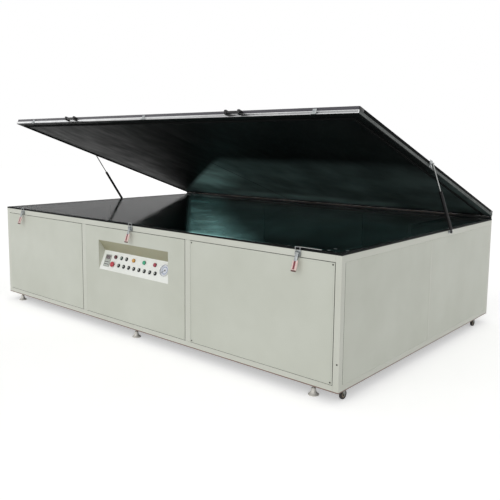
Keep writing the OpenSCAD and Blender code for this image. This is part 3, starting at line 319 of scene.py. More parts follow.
# %% Lenses
LENSES = {"amber": ("amber_polycarbonate", "DFA03F", "EFB75E"),
          "green": ("green_polycarbonate", "2DB083", "46C79A"),
          "red": ("red_polycarbonate", "AE2B42", "C03E55"),
          "signal": ("dark_red_polycarbonate", "5E1420", "751C2A")}
lenses = {word: finish(*look, 10, 1.5, 0.02, (0.10, 0.20), **{"Transmission Weight": 0.25, "IOR": 1.58})
          for word, look in LENSES.items()}
print("lenses", len(lenses))

# %% [markdown]
# ## Painted light on the glass and on the rubber
# A pale film on the glass and a pale sea-green patch on the rubber are painted light and reflection:
# they stand in for the light and reflections under the lid, and thin pale lines along the glass's
# front and right edges are painted highlights. Both lie in zones that end along straight lines. A zone
# is a strength, a list of round masks (centre, reach, turn) and a list of ramps (point, turn, reach),
# in millimetres and degrees. A cloud breaks all of them up.

# %% Zones
def seen_from(material, place, point, turn, scale):
    """Coordinates that start at a point, are turned about Z and are divided by a scale."""
    return add_node(material, "Mapping",
                    {"vector_type": "TEXTURE", "Location": (point[0] * MM, point[1] * MM, 0),
                     "Rotation": (0, 0, math.radians(turn)), "Scale": scale}, {"Vector": place}).outputs[0]


def round_mask(material, place, centre, reach, turn):
    """A mask that is 1 round a point and fades out at the given reach."""
    near = seen_from(material, place, centre, turn, (reach[0] * MM, reach[1] * MM, 1000))
    away = add_node(material, "VectorMath", {"operation": "LENGTH"}, {0: near}).outputs["Value"]
    return ranged(material, away, 0.3, 1.0, 1.0, 0.0)


def ramp_mask(material, place, point, turn, reach):
    """A mask that is 0 at a straight line through a point and 1 at the given distance past it."""
    near = seen_from(material, place, point, turn, (reach * MM, 1, 1))
    return ranged(material, add_node(material, "SeparateXYZ", None, {0: near}).outputs[0], 0.0, 1.0)


def clouded(material, place, zones, cloud):
    """The strongest of several zones at each place, all broken up by a cloud."""
    values = []
    for strength, rounds, ramps in zones:
        masks = [round_mask(material, place, *one) for one in rounds]
        masks += [ramp_mask(material, place, *one) for one in ramps]
        masks[0] = worked(material, "MULTIPLY", masks[0], strength)
        values.append(combined(material, "MULTIPLY", masks))
    return combined(material, "MULTIPLY", [combined(material, "MAXIMUM", values), cloud])


# %% [markdown]
# ## Plate glass
# The top is float glass 10 mm thick, with a sea-green tint from the iron in it. Seen from this low
# angle it is half a mirror. A full glass shader would be slow and noisy over the lamps, so the plate
# is a thin tinted film instead: what Alpha lets through shows the dark inside, and the rest gives the
# tint and the mirror. In the zones the film is paler and nearly opaque: a teal streak under the lid is
# painted reflection and light, and the lines along the edges are painted highlights.

# %% Glass
GLASS_ALPHA, PAINTED_LIGHT_ALPHA = 0.17, 0.90
# Zones of painted light on the glass: a teal streak of painted reflection, and painted highlight lines along
# the front and right edges
GLASS_PAINTED_LIGHT = [(0.30, [((300, 100), (2300, 1500), 0)], [((-150, -450), 45.7, 90)]),
        (1.0, [], [((-150, -450), 45.7, 50), ((230, -60), 225.7, 330)]),
        (0.3, [], [((1150, 0), 0, 200), ((0, -1106), 90, 3), ((0, -1094), 270, 3)]),
        (0.4, [], [((1741, 0), 0, 3), ((1752, 0), 180, 3), ((0, -300), 270, 300)])]


def glass_material(name, dark, light, roughness, zones=(), **surface):
    material, place = new_material(name)
    dust = patches(material, place, 260, *roughness, 4.0)[1]
    shade = add_node(material, "Mix", {"data_type": "RGBA", COLOUR_A: linear(dark), COLOUR_B: linear(light)})
    sockets = {"Base Color": shade.outputs[MIXED], "Roughness": dust}
    if zones:
        cloud = patches(material, place, 300, 0.55, 1.0, 6.0, span=(0.36, 0.60))[1]
        painted_glass_light = clouded(material, place, zones, cloud)
        material.node_tree.links.new(painted_glass_light, shade.inputs[FACTOR])
        sockets["Alpha"] = ranged(material, painted_glass_light, 0.0, 1.0, GLASS_ALPHA, PAINTED_LIGHT_ALPHA)
    return surfaced(material, surface, sockets)


plate_glass = glass_material("float_glass", "0C2B29", "A4E2DF", (0.02, 0.10), GLASS_PAINTED_LIGHT,
                             **{"IOR": 1.5, "Specular IOR Level": 0.36})
clear_glass = glass_material("gauge_glass", "F2F6F6", "FAFCFC", (0.02, 0.05), Alpha=0.06, IOR=1.5)
print("glass", plate_glass.name, clear_glass.name)

# %% [markdown]
# ## Blanket rubber
# The blanket is a sheet of smooth black rubber, wiped often, so it has a soft shine that breaks up in
# long waves. A pale sea-green patch is painted on its underside and ends along a slanting line:
# painted light and reflection from the back and right. A dark seam runs across it where two widths
# are joined. Its upper side has no painted patch.

# %% Blanket rubber
# Zones of painted light and reflection on the blanket's underside
RUBBER_PAINTED_LIGHT = [(0.34, [((100, 900), (2300, 1500), 0)], [((0, -250), 53.4, 50), ((0, -250), 90, 160)]),
         (1.0, [((-760, 460), (1000, 430), -37)], [((0, -250), 53.4, 50), ((0, -230), 90, 120)]),
         (0.85, [((-100, 1040), (2000, 300), 0)], [((0, -250), 53.4, 50)])]
SEAM_X, SEAM_HALF, SEAM_SOFT = -230, 7, 3


def blanket_material():
    material, place = new_material("calendered_black_rubber")
    cloud = patches(material, place, 420, 0.45, 1.0, 5.0, span=(0.36, 0.60))[1]
    shade = patches(material, place, 420, 0.0, 1.0, 5.0)[1]
    wave, gloss = patches(material, place, 90, 0.48, 0.62, 3.0, (1.0, 0.25, 1.0))
    seam = combined(material, "MULTIPLY",
                    [ramp_mask(material, place, (SEAM_X - SEAM_HALF, 0), 0, SEAM_SOFT),
                     ramp_mask(material, place, (SEAM_X + SEAM_HALF, 0), 180, SEAM_SOFT)])
    painted_rubber_light = clouded(material, place, RUBBER_PAINTED_LIGHT, cloud)
    colour = layered(material, "090B0B", [("111615", shade), ("C6E8E4", painted_rubber_light), ("060707", seam)])
    relief = add_node(material, "Bump", {"Strength": 0.35, "Distance": 2.0 * MM}, {"Height": wave})
    return surfaced(material, {"Specular IOR Level": 0.10},
                    {"Base Color": colour, "Roughness": gloss, "Normal": relief.outputs[0]})


blanket_rubber = blanket_material()
sheet_back = finish("black_rubber_back", "0A0B0B", "131615", 420, 60.0, 0.60, (0.46, 0.60), specular=0.12)
print("materials", len(bpy.data.materials))

# %% [markdown]
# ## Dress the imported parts
# A part whose solid is right keeps its mesh and gets its finish here, by the name of its material.

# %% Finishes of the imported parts
FINISHES = {
    "frame_enamel": frame_paint, "panel_enamel": panel_paint, "console_enamel": console_paint,
    "floor_paint": floor_paint, "plate_glass": plate_glass, "rim_paint": rim_paint, "zinc_steel": zinc,
    "timer_plastic": case_plastic, "bezel_chrome": painted_reflection_chrome, "lens_plastic": lenses["red"],
    "gauge_steel": chrome, "screw_steel": screw_metal, "foot_steel": dull_steel,
    "reflector_aluminium": reflector_metal, "lamp_ceramic": ceramic, "box_enamel": box_paint,
    "pump_iron": iron_paint, "pipe_plastic": pipe_plastic, "gland_plastic": nylon,
    "lid_enamel": lid_paint, "clamp_aluminium": aluminium, "blanket_rubber": blanket_rubber,
    "handle_plastic": nylon, "strut_black": strut_paint, "rod_chrome": rod_metal,
    "lever_red": grip_vinyl, "cap_black": black_plastic, "cap_green": green_plastic,
    "cap_red": red_plastic, "needle_black": black_plastic, "wheel_rubber": wheel_rubber,
}
BY_NODE = {"castor_plates": dull_steel, "castor_fork_left": dull_steel, "castor_fork_right": dull_steel}
for part in frame["record"]["subparts"]:
    for holder in nodes[part["node"]].material_slots:
        holder.material = BY_NODE.get(part["node"], FINISHES[part["material_slot"]])

# %% [markdown]
# ## Soft edges
# Sheet and tube never end in a razor edge. A weld and a narrow bevel are added to the parts with plain
# edges, which leaves their size as it is.

# %% Soft edges on sheet and tube
EDGE_WIDTHS = {"posts": 1.5, "rails": 1.5, "front_panels": 0.8, "centre_panel": 0.8, "side_panels": 0.8,
               "rear_panels": 0.8, "glass_rim": 0.8, "lid_frame": 2.0, "lid_fittings": 0.6,
               "latch_bases": 0.5, "power_box": 1.0}
SHARP, MERGE = 50, 0.01
for name, width in EDGE_WIDTHS.items():
    weld = nodes[name].modifiers.new("weld", "WELD")
    weld.merge_threshold = MERGE * MM
    bevel = nodes[name].modifiers.new("soft_edge", "BEVEL")
    bevel.width = width * MM
    bevel.segments = 2
    bevel.limit_method = "ANGLE"
    bevel.angle_limit = math.radians(SHARP)
print("soft edges", len(EDGE_WIDTHS))

# %% [markdown]
# ## Floor and light
# The object stands on a white floor in a white room. A sun as wide as a large window, low in front,
# gives the front a little more light than the side, and the room lights the rest. The white that the
# camera and mirrors see is kept apart from the light on the object, so the paint keeps its own shade.

# %% Floor
FLOOR_SIZE, FLOOR_GLOW = 60, 0.42


def seen_directly(material):
    """1 for a ray from the camera, a mirror or a glass, and 0 for one that only carries light."""
    rays = add_node(material, "LightPath").outputs
    return combined(material, "MAXIMUM", [rays["Is Camera Ray"], rays["Is Glossy Ray"],
                                          rays["Is Transmission Ray"]])


def floor_material():
    material, place = new_material("white_studio_floor")
    colour = layered(material, "F1F1F0", [("F5F5F4", patches(material, place, 900, 0.0, 1.0)[1])])
    matt = add_node(material, "BsdfDiffuse", None, {"Color": colour})
    lift = worked(material, "MULTIPLY", seen_directly(material), FLOOR_GLOW)
    glow = add_node(material, "Emission", None, {"Strength": lift})
    both = add_node(material, "AddShader", None, {0: matt.outputs[0], 1: glow.outputs[0]})
    add_node(material, "OutputMaterial", None, {"Surface": both.outputs[0]})
    return material


bpy.ops.mesh.primitive_plane_add(size=FLOOR_SIZE, location=(0, 0, 0))
floor = bpy.context.object
floor.name = "studio_floor"
floor.data.materials.append(floor_material())

# %% Light
ROOM_LIGHT, ROOM_SEEN = 0.58, 1.0
SUN_POWER, SUN_WIDTH, SUN_FROM = 1.2, 80, (0.22, -0.93, 0.28)
world = bpy.context.scene.world or bpy.data.worlds.new("studio")
bpy.context.scene.world = world
world.use_nodes = True
world.node_tree.nodes.clear()
power = ranged(world, seen_directly(world), 0.0, 1.0, ROOM_LIGHT, ROOM_SEEN)
sky = add_node(world, "Background", {"Color": linear("FFFFFF")}, {"Strength": power})
add_node(world, "OutputWorld", None, {"Surface": sky.outputs[0]})
bpy.context.scene.view_settings.view_transform = "Standard"
sun_data = bpy.data.lights.new("key_light", "SUN")
sun_data.energy = SUN_POWER
sun_data.angle = math.radians(SUN_WIDTH)
sun = bpy.data.objects.new("key_light", sun_data)
sun.rotation_euler = Vector(SUN_FROM).to_track_quat("Z", "Y").to_euler()
bpy.context.collection.objects.link(sun)
print("lamps", 1, "room", ROOM_LIGHT)

# %% [markdown]
# ## Helpers for modelling
# Round parts are drawn up from a disc, ring by ring, as on a potter's wheel. Square parts start from a
# cube whose edges are bevelled. A matrix that sets a part in place goes into its mesh, so the object
# itself stays unturned. The lid's pieces are drawn shut, where everything is square, and turned up
# 18.8 degrees about the hinge pin when they are dressed.

# %% Modelling helpers
SMOOTH, SMOOTH_SHEET, SMOOTH_HOOD = 38, 50, 40
SIDES = (("left", -1), ("right", 1))
HALF_W, HALF_D = 1800, 1150
HINGE_Y, HINGE_Z = 1158, 885
LID_OPEN = -18.8


def at_mm(x, y, z):
    return Matrix.Translation((x * MM, y * MM, z * MM))


def turned(axis, degrees):
    return Matrix.Rotation(math.radians(degrees), 4, axis)


lid_up = at_mm(0, HINGE_Y, HINGE_Z) @ turned("X", LID_OPEN) @ at_mm(0, -HINGE_Y, -HINGE_Z)


def started(name, scale=(1, 1, 1)):
    """Names the shape just added, puts its place and size into its mesh and opens that for editing."""
    piece = bpy.context.object
    piece.name = name
    piece.scale = scale
    bpy.ops.object.transform_apply(location=True, rotation=True, scale=True)
    bpy.ops.object.mode_set(mode="EDIT")
    bpy.ops.mesh.select_all(action="SELECT")
    return piece


def chosen(piece, items, wanted):
    """Opens a mesh for editing with just the faces or edges selected that pass a test."""
    bpy.ops.object.mode_set(mode="EDIT")
    bpy.ops.mesh.select_mode(type="FACE" if items == "polygons" else "EDGE")
    bpy.ops.mesh.select_all(action="DESELECT")
    bpy.ops.object.mode_set(mode="OBJECT")
    for item in getattr(piece.data, items):
        item.select = wanted(item)
    bpy.ops.object.mode_set(mode="EDIT")


def drawn(x, y, z):
    """Pulls what is selected out, or inward, by millimetres."""
    bpy.ops.mesh.extrude_region_move(TRANSFORM_OT_translate={"value": (x * MM, y * MM, z * MM)})


def outward_normals():
    bpy.ops.mesh.select_all(action="SELECT")
    bpy.ops.mesh.normals_make_consistent(inside=False)


def smoothed(degrees=SMOOTH):
    """Ends the editing, and shades the mesh smooth where faces meet at less than an angle."""
    bpy.ops.object.mode_set(mode="OBJECT")
    bpy.ops.object.shade_smooth_by_angle(angle=math.radians(degrees))


def cut_away():
    """Deletes the chosen faces, and selects the rest."""
    bpy.ops.mesh.delete(type="FACE")
    bpy.ops.mesh.select_all(action="SELECT")


def thickened(piece, thickness, side):
    """Gives a bare surface its thickness in millimetres, outward (1) or inward (-1)."""
    wall = piece.modifiers.new("thickness", "SOLIDIFY")
    wall.thickness = thickness * MM
    wall.offset = side
    bpy.ops.object.modifier_apply(modifier="thickness")


def stacked(name, rings, sides=32):
    """A closed round piece from a list of rings (radius, height) in millimetres."""
    bpy.ops.mesh.primitive_circle_add(vertices=sides, radius=rings[0][0] * MM, fill_type="NGON",
                                      location=(0, 0, rings[0][1] * MM))
    piece = started(name)
    for (r0, h0), (r1, h1) in zip(rings, rings[1:]):
        drawn(0, 0, h1 - h0)
        if r1 != r0:
            bpy.ops.transform.resize(value=(r1 / r0, r1 / r0, 1), center_override=(0, 0, h1 * MM))
    outward_normals()
    smoothed()
    return piece


def hooped(name, rings, sides=64):
    """A closed hoop: the last ring meets the first, and the discs that closed its ends are taken out."""
    piece = stacked(name, rings + [rings[0]], sides)
    chosen(piece, "polygons", lambda face: len(face.vertices) > 4)
    cut_away()
    bpy.ops.mesh.remove_doubles(threshold=MERGE * MM)
    outward_normals()
    bpy.ops.object.mode_set(mode="OBJECT")
    return piece


def block(name, low, high, edge=0.5, segments=2):
    """A box with rounded edges between two opposite corners in millimetres."""
    centre = [(a + b) / 2 * MM for a, b in zip(low, high)]
    bpy.ops.mesh.primitive_cube_add(size=1, location=centre)
    piece = started(name, [abs(b - a) * MM for a, b in zip(low, high)])
    bpy.ops.mesh.bevel(offset=edge * MM, segments=segments, affect="EDGES")
    smoothed()
    return piece


def copied(piece, name, place):
    """A second piece with its own mesh, set in place by a matrix."""
    twin = piece.copy()
    twin.data = piece.data.copy()
    twin.name = name
    bpy.context.collection.objects.link(twin)
    twin.data.transform(place)
    return twin


def joined(name, pieces):
    """One piece from several."""
    bpy.ops.object.select_all(action="DESELECT")
    for piece in pieces:
        piece.select_set(True)
    bpy.context.view_layer.objects.active = pieces[0]
    if len(pieces) > 1:
        bpy.ops.object.join()
    pieces[0].name = name
    return pieces[0]


def dressed(piece, material, slot, *replaced, body="cabinet", place=None):
    """Sets a piece in place, gives it its finish and body, and hides the nodes it stands for. The slot
    argument is not used.
    """
    if place is not None:
        piece.data.transform(place)
    if body == "lid":
        piece.data.transform(lid_up)
    piece.data.materials.clear()
    piece.data.materials.append(material)
    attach(piece, body)
    if replaced:
        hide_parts(*replaced)
    return piece


def removed(*pieces):
    for piece in pieces:
        bpy.data.objects.remove(piece)


print("front edge of the lid", [round(v, 3) for v in lid_up @ Vector((0, -HALF_D * MM, HINGE_Z * MM))])

# %% [markdown]
# ## The vacuum blanket
# One sheet of rubber is clamped round its edge and pulled flat, yet it hangs a few millimetres
# between the tubes above it and puckers where the bars grip it. A grid with small waves in it shows
# that: the sag follows the bays between the tubes, and the puckers die out a hand's breadth in. A
# second, longer wave inside each sine keeps the waves from looking even.

# %% Blanket sheet
SHEET_X, SHEET_Y, SHEET_T = 1797.5, 1147.5, 2.0
SHEET_TOP = 884.4
BAY, BAY_START = (2 * 1796 - 50) / 4, 1771
CLAMPED, EASED = 70, 260
SAG, PUCKER, RIPPLE = 4.5, 0.9, 0.55


def sheet_height(x, y):
    inset_x, inset_y = SHEET_X - abs(x), SHEET_Y - abs(y)
    edge = min(inset_x, inset_y)
    free = min(1.0, max(0.0, (edge - CLAMPED) / EASED))
    free = free * free * (3 - 2 * free)
    sag = SAG * free * abs(math.sin(math.pi * (x + BAY_START) / BAY)) ** 0.8
    along = y if inset_x < inset_y else x
    pucker = PUCKER * math.sin(along / 37.0 + 1.7 * math.sin(along / 210.0)) * math.exp(-edge / 110)
    ripple = RIPPLE * free * math.sin(x / 61.0 + 2.1 * math.sin(y / 190.0)) * math.sin(y / 143.0 + 0.6)
    height = SHEET_TOP - SHEET_T - sag + (pucker * min(1.0, edge / 30) + ripple) - PUCKER
    return min(SHEET_TOP - SHEET_T, height)


bpy.ops.mesh.primitive_grid_add(x_subdivisions=220, y_subdivisions=140, size=2, location=(0, 0, 0))
sheet = started("vacuum_blanket", (SHEET_X * MM, SHEET_Y * MM, 1))
bpy.ops.object.mode_set(mode="OBJECT")
for vertex in sheet.data.vertices:
    vertex.co.z = sheet_height(vertex.co.x / MM, vertex.co.y / MM) * MM
thickened(sheet, SHEET_T, 1)
smoothed(SMOOTH_SHEET)
dressed(sheet, blanket_rubber, "blanket_rubber", "blanket", body="lid")
sheet.data.materials.append(sheet_back)
for face in sheet.data.polygons:
    face.material_index = 1 if face.normal.z > 0.5 else 0
print("blanket faces", len(sheet.data.polygons))

# %% [markdown]
# ## The sealing bead
# A soft lip runs round under the sheet and presses on the glass, so the pump can draw the air out. It
# is a frame with a rounded nose: a plate is inset to leave a frame, drawn down and its lower edges
# bevelled. A bevel bulges at the mitres, so the nose is then pressed level.

# %% Sealing bead
BEAD_X, BEAD_Y, BEAD_W, BEAD_NOSE = 1750, 1100, 14, 5
BEAD_LOW, BEAD_HIGH = 870.6, 880.6
bpy.ops.mesh.primitive_plane_add(size=2, location=(0, 0, BEAD_HIGH * MM))
bead = started("blanket_bead", (BEAD_X * MM, BEAD_Y * MM, 1))
bpy.ops.mesh.inset(thickness=BEAD_W * MM)
cut_away()
drawn(0, 0, BEAD_LOW - BEAD_HIGH)
outward_normals()
bpy.ops.object.mode_set(mode="OBJECT")
low_ends = {v.index for v in bead.data.vertices if v.co.z < (BEAD_LOW + 0.1) * MM}
chosen(bead, "edges", lambda edge: low_ends.issuperset(edge.vertices))
bpy.ops.mesh.bevel(offset=BEAD_NOSE * MM, segments=5, affect="EDGES")
bpy.ops.object.mode_set(mode="OBJECT")
for vertex in bead.data.vertices:
    vertex.co.z = max(vertex.co.z, BEAD_LOW * MM)
smoothed(SMOOTH_SHEET)
dressed(bead, bead_rubber, "blanket_rubber", "blanket", body="lid")
print("bead faces", len(bead.data.polygons))

# %% [markdown]
# ## The console's plane
# The controls stand on a plate that leans back in its recess. A control's place is given by x and by
# how far it is up the slope. One matrix turns a piece made along Z so that it points out of the plate.

# %% Console plane
CONSOLE_LOW, CONSOLE_HIGH = Vector((0, -1150, 480)), Vector((0, -1090, 620))
LOW_ROW, HIGH_ROW = 52, 112
X = Vector((1, 0, 0))
rise = (CONSOLE_HIGH - CONSOLE_LOW).normalized()
face_turn = Matrix((X, rise, X.cross(rise))).transposed().to_4x4()


def on_console(x, up):
    return Matrix.Translation((X * x + CONSOLE_LOW + rise * up) * MM) @ face_turn


print("console rise", [round(v, 3) for v in rise])

# %% [markdown]
# ## Push buttons
# Each cap is a moulded disc with a rounded rim and a shallow dish that the finger finds, and a pale
# disc lies in the dish, set off to the upper left: a painted highlight. Its ring is a CAD part in
# chrome painted dark grey, a painted dark reflection. One cap is made and copied for the eight black
# buttons, for start and for reset, and each copy rides on its own body so that it can be pressed.

# %% Push buttons
CAP_R, CAP_FOOT = 11.6, -6
cap = stacked("cap", [(11.0, CAP_FOOT), (CAP_R, -5.5), (CAP_R, 6.4), (11.4, 7.3), (10.7, 7.9), (9.8, 8.0),
                      (8.6, 7.6), (6.0, 7.0), (3.0, 6.8), (0.3, 6.75)], 40)
# A pale disc set off to the upper left of each cap: a painted highlight
painted_highlight_disc = stacked("painted_highlight_disc", [(6.2, 6.6), (6.2, 7.15), (5.8, 7.4), (0.3, 7.5)], 32)
painted_highlight_disc.data.transform(at_mm(-3.2, 1.4, 0))
buttons = [("button_%d" % i, "push_button_%d" % i, 60 * i - 240, LOW_ROW, black_plastic, "cap_black")
           for i in range(1, 9)]
buttons += [("start_button", "start", -172, HIGH_ROW, green_plastic, "cap_green"),
            ("reset_button", "reset", -112, HIGH_ROW, black_plastic, "cap_black")]
for node, body, x, up, material, slot in buttons:
    dressed(copied(cap, node + "_cap", on_console(x, up)), material, slot, node, body=body)
    dressed(copied(painted_highlight_disc, node + "_insert", on_console(x, up)), key_plastic, slot, node, body=body)
removed(cap, painted_highlight_disc)
print("caps", len(buttons))

# %% [markdown]
# ## Stop button
# The stop button is a red mushroom on a stem, with a rolled edge, so that a flat hand finds it.

# %% Stop button
mushroom = stacked("stop_button_cap",
                   [(11.0, CAP_FOOT), (CAP_R, -5.5), (CAP_R, 7.5), (17.5, 7.6), (19.8, 8.3), (20.5, 10.0),
                    (20.5, 13.0), (20.0, 15.0), (17.8, 17.0), (13.0, 18.4), (7.0, 18.95), (0.4, 19.0)], 48)
dressed(mushroom, red_plastic, "cap_red", "stop_button", body="stop", place=on_console(-250, LOW_ROW))
print("stop button")

# %% [markdown]
# ## Pilot lamps
# A pilot lamp has a domed lens with fine steps round its skirt, which screw into the ring. The four
# lenses are one shape in four colours.

# %% Pilot lamps
LAMP_XS = {"signal": -240, "amber": -25, "green": 95, "red": 215}
lens = stacked("lens", [(11.4, -6), (11.4, 3.4), (14.5, 3.6), (14.5, 4.6), (14.0, 4.9), (14.0, 5.4),
                        (14.5, 5.7), (14.5, 7.5), (14.2, 9.2), (13.2, 11.3), (11.2, 13.2), (8.0, 14.4),
                        (4.0, 14.9), (0.4, 15.0)], 40)
for word, x in LAMP_XS.items():
    twin = copied(lens, "lamp_lens_" + word, on_console(x, HIGH_ROW))
    dressed(twin, lenses[word], "lens_plastic", "pilot_lenses")
removed(lens)
print("lamps", len(LAMP_XS))

# %% [markdown]
# ## Latch levers
# A toggle latch pulls the lid down on the glass. Its lever is pressed steel with two cheeks and ends
# in a moulded grip with a red pad on its face and a thicker tip. The grip round the pad is drawn pale:
# a painted highlight along the edges of a red grip. The lever node is one plain solid, so four pieces
# stand for it: steel plate, grip, pad and tip. They are made hanging from the pivot, turned to the
# lever's lean and then copied.

# %% Latch levers
LATCH_XS = {"left": -1510, "middle": 0, "right": 1510}
PIVOT, BAIL, LEAN = (-1163, 838), (3, -12), -20
hub = stacked("hub", [(5.2, -11.2), (6.0, -10.6), (6.0, 10.6), (5.2, 11.2)], 28)
hub.data.transform(turned("Y", 90))
boss = stacked("boss", [(3.8, -11.2), (4.5, -10.6), (4.5, 10.6), (3.8, 11.2)], 24)
boss.data.transform(at_mm(0, *BAIL) @ turned("Y", 90))
webs = [block("web", (side * 9.4, -2.5, -12), (side * 11.0, 5.5, 0), 0.4) for word, side in SIDES]
leaning = [block("cheek", (side * 8.7, -4.5, -50), (side * 10.5, 2.5, -1), 0.5) for word, side in SIDES]
leaning.append(block("plate", (-10.4, -4.6, -52), (10.4, -2.6, -6), 0.6))
grip = block("grip", (-18.5, -4.5, -103), (18.5, 4.5, -42), 3.2, 4)
pad = block("pad", (-6.6, -5.0, -97), (6.6, -4.0, -48), 0.9, 3)
tip = stacked("tip", [(3.6, -16.0), (5.2, -14.8), (5.5, -12.5), (5.5, 12.5), (5.2, 14.8), (3.6, 16.0)], 24)
tip.data.transform(at_mm(0, 0, -104.5) @ turned("Y", 90))
for piece in leaning + [grip, pad, tip]:
    piece.data.transform(turned("X", LEAN))
steel = joined("steel", [hub, boss] + webs + leaning)
for word, x in LATCH_XS.items():
    for name, model, material in (("lever_plate_", steel, zinc), ("lever_grip_", grip, painted_highlight_vinyl),
                                  ("lever_pad_", pad, grip_vinyl), ("lever_tip_", tip, tip_vinyl)):
        dressed(copied(model, name + word, at_mm(x, *PIVOT)), material, "lever_red", "latch_lever_" + word,
                body="lever_" + word)
removed(steel, grip, pad, tip)
print("levers", len(LATCH_XS))

# %% [markdown]
# ## Pull handles
# Two black nylon handles are bolted to the lid's front edge. A real one is a single moulding: the
# feet flow into a round grip. Here the feet are rounded blocks and the grip swells towards its middle.

# %% Pull handles
HANDLE_X = 900
grip = stacked("grip", [(7.4, -50), (8.2, -44), (8.7, -25), (8.9, 0), (8.7, 25), (8.2, 44), (7.4, 50)], 32)
grip.data.transform(at_mm(0, -1180, 904) @ turned("Y", 90))
feet = [block("foot", (side * 56 - 10, -1192, 889), (side * 56 + 10, -HALF_D, 919), 4.5, 4)
        for word, side in SIDES]
handle = joined("handle", feet + [grip])
for word, side in SIDES:
    dressed(copied(handle, "pull_handle_" + word, at_mm(side * HANDLE_X, 0, 0)), nylon, "handle_plastic",
            "lid_handles", body="lid")
removed(handle)
print("handles", len(SIDES))

# %% [markdown]
# ## Wheels
# The castors are small hard rubber wheels with a rounded tread, and a nylon hub lies in the hollow of
# each side and turns on the axle.

# %% Wheels
WHEEL_X, WHEEL_Z = 1766, 31
half_tyre = [(8.0, -10.0), (10.5, -9.6), (11.2, -6.6), (22.0, -6.6), (23.8, -9.0), (26.1, -9.6), (28.3, -6.9),
             (29.0, -2.8)]
tyre = stacked("tyre", half_tyre + [(radius, -height) for radius, height in reversed(half_tyre)], 48)
hub = stacked("hub", [(9.0, -8.6), (17.5, -8.2), (18.6, -7.4), (18.6, 7.4), (17.5, 8.2), (9.0, 8.6)], 40)
wheels = [("front", "left", -1, -710), ("front", "right", 1, -1045), ("rear", "left", -1, 934),
          ("rear", "right", 1, 934)]
for end, word, side, y in wheels:
    node, body = end + "_wheel_" + word, "wheel_" + end + "_" + word
    place = at_mm(side * WHEEL_X, y, WHEEL_Z) @ turned("Y", 90)
    dressed(copied(tyre, node + "_tyre", place), wheel_rubber, "wheel_rubber", node, body=body)
    dressed(copied(hub, node + "_hub", place), hub_plastic, "wheel_rubber", node, body=body)
removed(tyre, hub)
print("wheels", len(wheels))

# %% [markdown]
# ## Clamping bars
# Aluminium bars along the lid's front and sides press the sheet against the tubes. A real bar is
# extruded with a raised rim, and the side bars are painted a dark, dull grey, which stands in for dark
# surroundings in their mirror: a painted reflection. The bar is a block whose outer face is inset and
# pushed in, which leaves the rim.

# %% Clamping bars
CLAMP_TOP, CLAMP_T = 904, 4
RIM_W, RIM_DEEP = 3.2, 0.8


def grooved(name, low, high, normal):
    """A block with a raised rim round the face that looks the given way."""
    piece = block(name, low, high, 0.6, 2)
    facing = [face for face in piece.data.polygons if face.normal.dot(Vector(normal)) > 0.999]
    widest = max(facing, key=lambda face: face.area).index
    chosen(piece, "polygons", lambda face: face.index == widest)
    bpy.ops.mesh.inset(thickness=RIM_W * MM)
    drawn(*[-RIM_DEEP * value for value in normal])
    bpy.ops.object.mode_set(mode="OBJECT")
    return piece


front_bar = grooved("clamp_bar_front", (-HALF_W, -HALF_D, HINGE_Z), (HALF_W, CLAMP_T - HALF_D, CLAMP_TOP),
                    (0, -1, 0))
dressed(front_bar, aluminium, "clamp_aluminium", "clamp_bars", body="lid")
for word, side in SIDES:
    bar = grooved("clamp_bar_" + word, (side * HALF_W, -HALF_D + 4.2, HINGE_Z),
                  (side * (HALF_W - CLAMP_T), HALF_D - 1, CLAMP_TOP), (side, 0, 0))
    dressed(bar, painted_reflection_side_metal, "clamp_aluminium", "clamp_bars", body="lid")
print("clamping bars", 1 + len(SIDES))

# %% [markdown]
# ## Outer sides of the lid's tubes
# The ends of the front and back tubes are closed with moulded plugs, whose heads are thin plates with
# round edges. Between them a thin black strip lies on each side tube above the clamping bar: a dark
# sheet that stands in for the shade on the tube's side, painted shade.

# %% End caps and side strips
TUBE_TOP = 926.4
plugs = [block("plug", (side * (HALF_W - 4), y, CLAMP_TOP + 1),
               (side * (HALF_W - 0.6), y + 48, TUBE_TOP), 1.2, 3)
         for word, side in SIDES for y in (-HALF_D + 5, HALF_D - 50)]
dressed(joined("lid_end_caps", plugs), black_plastic, "handle_plastic", body="lid")
for word, side in SIDES:
    # A dark strip for painted shade on the side of the tube
    strip = block("lid_side_shade_strip_" + word, (side * (HALF_W - 4), -HALF_D + 54, CLAMP_TOP + 1),
                  (side * (HALF_W - 1.5), HALF_D - 51, TUBE_TOP), 1.0, 3)
    dressed(strip, bead_rubber, "handle_plastic", body="lid")
print("end caps", len(plugs), "side strips", len(SIDES))

# %% [markdown]
# ## Rear seal
# Behind the glass a foam strip with a thin lip fills the gap under the lid from end to end, so no
# light gets out at the back. A strip of brown tape is stuck along its step.

# %% Rear seal
foam = joined("rear_seal", [block("base", (-1797, HALF_D - 5, 866), (1797, HALF_D - 0.6, 879), 1.2, 3),
                            block("lip", (-1797, HALF_D - 2.1, 872), (1797, HALF_D - 0.6, 884.6), 0.4, 2)])
dressed(foam, foam_rubber, "wheel_rubber")
tape = block("rear_seal_tape", (-1600, HALF_D - 4.8, 878.6), (1500, HALF_D - 2.3, 880.4), 0.5, 2)
dressed(tape, tape_fabric, "wheel_rubber")
print("rear seal", [round(v, 4) for v in foam.dimensions])

# %% [markdown]
# ## Screws
# Pan heads with a small socket hold the removable panels, and smaller ones hold the hinges. One head
# is turned up from a disc, and copies are joined into one piece for each group.

# %% Screws
def pan_head(r, h, shank):
    """A screw head with a socket, of a radius and height up from z = 0, and its shank below."""
    return stacked("head", [(0.45 * r, -shank), (0.45 * r, -0.2), (0.97 * r, 0.0), (r, 0.25 * h),
                            (0.94 * r, 0.62 * h), (0.76 * r, 0.9 * h), (0.56 * r, h), (0.46 * r, h),
                            (0.42 * r, 0.45 * h), (0.05 * r, 0.45 * h)], 18)


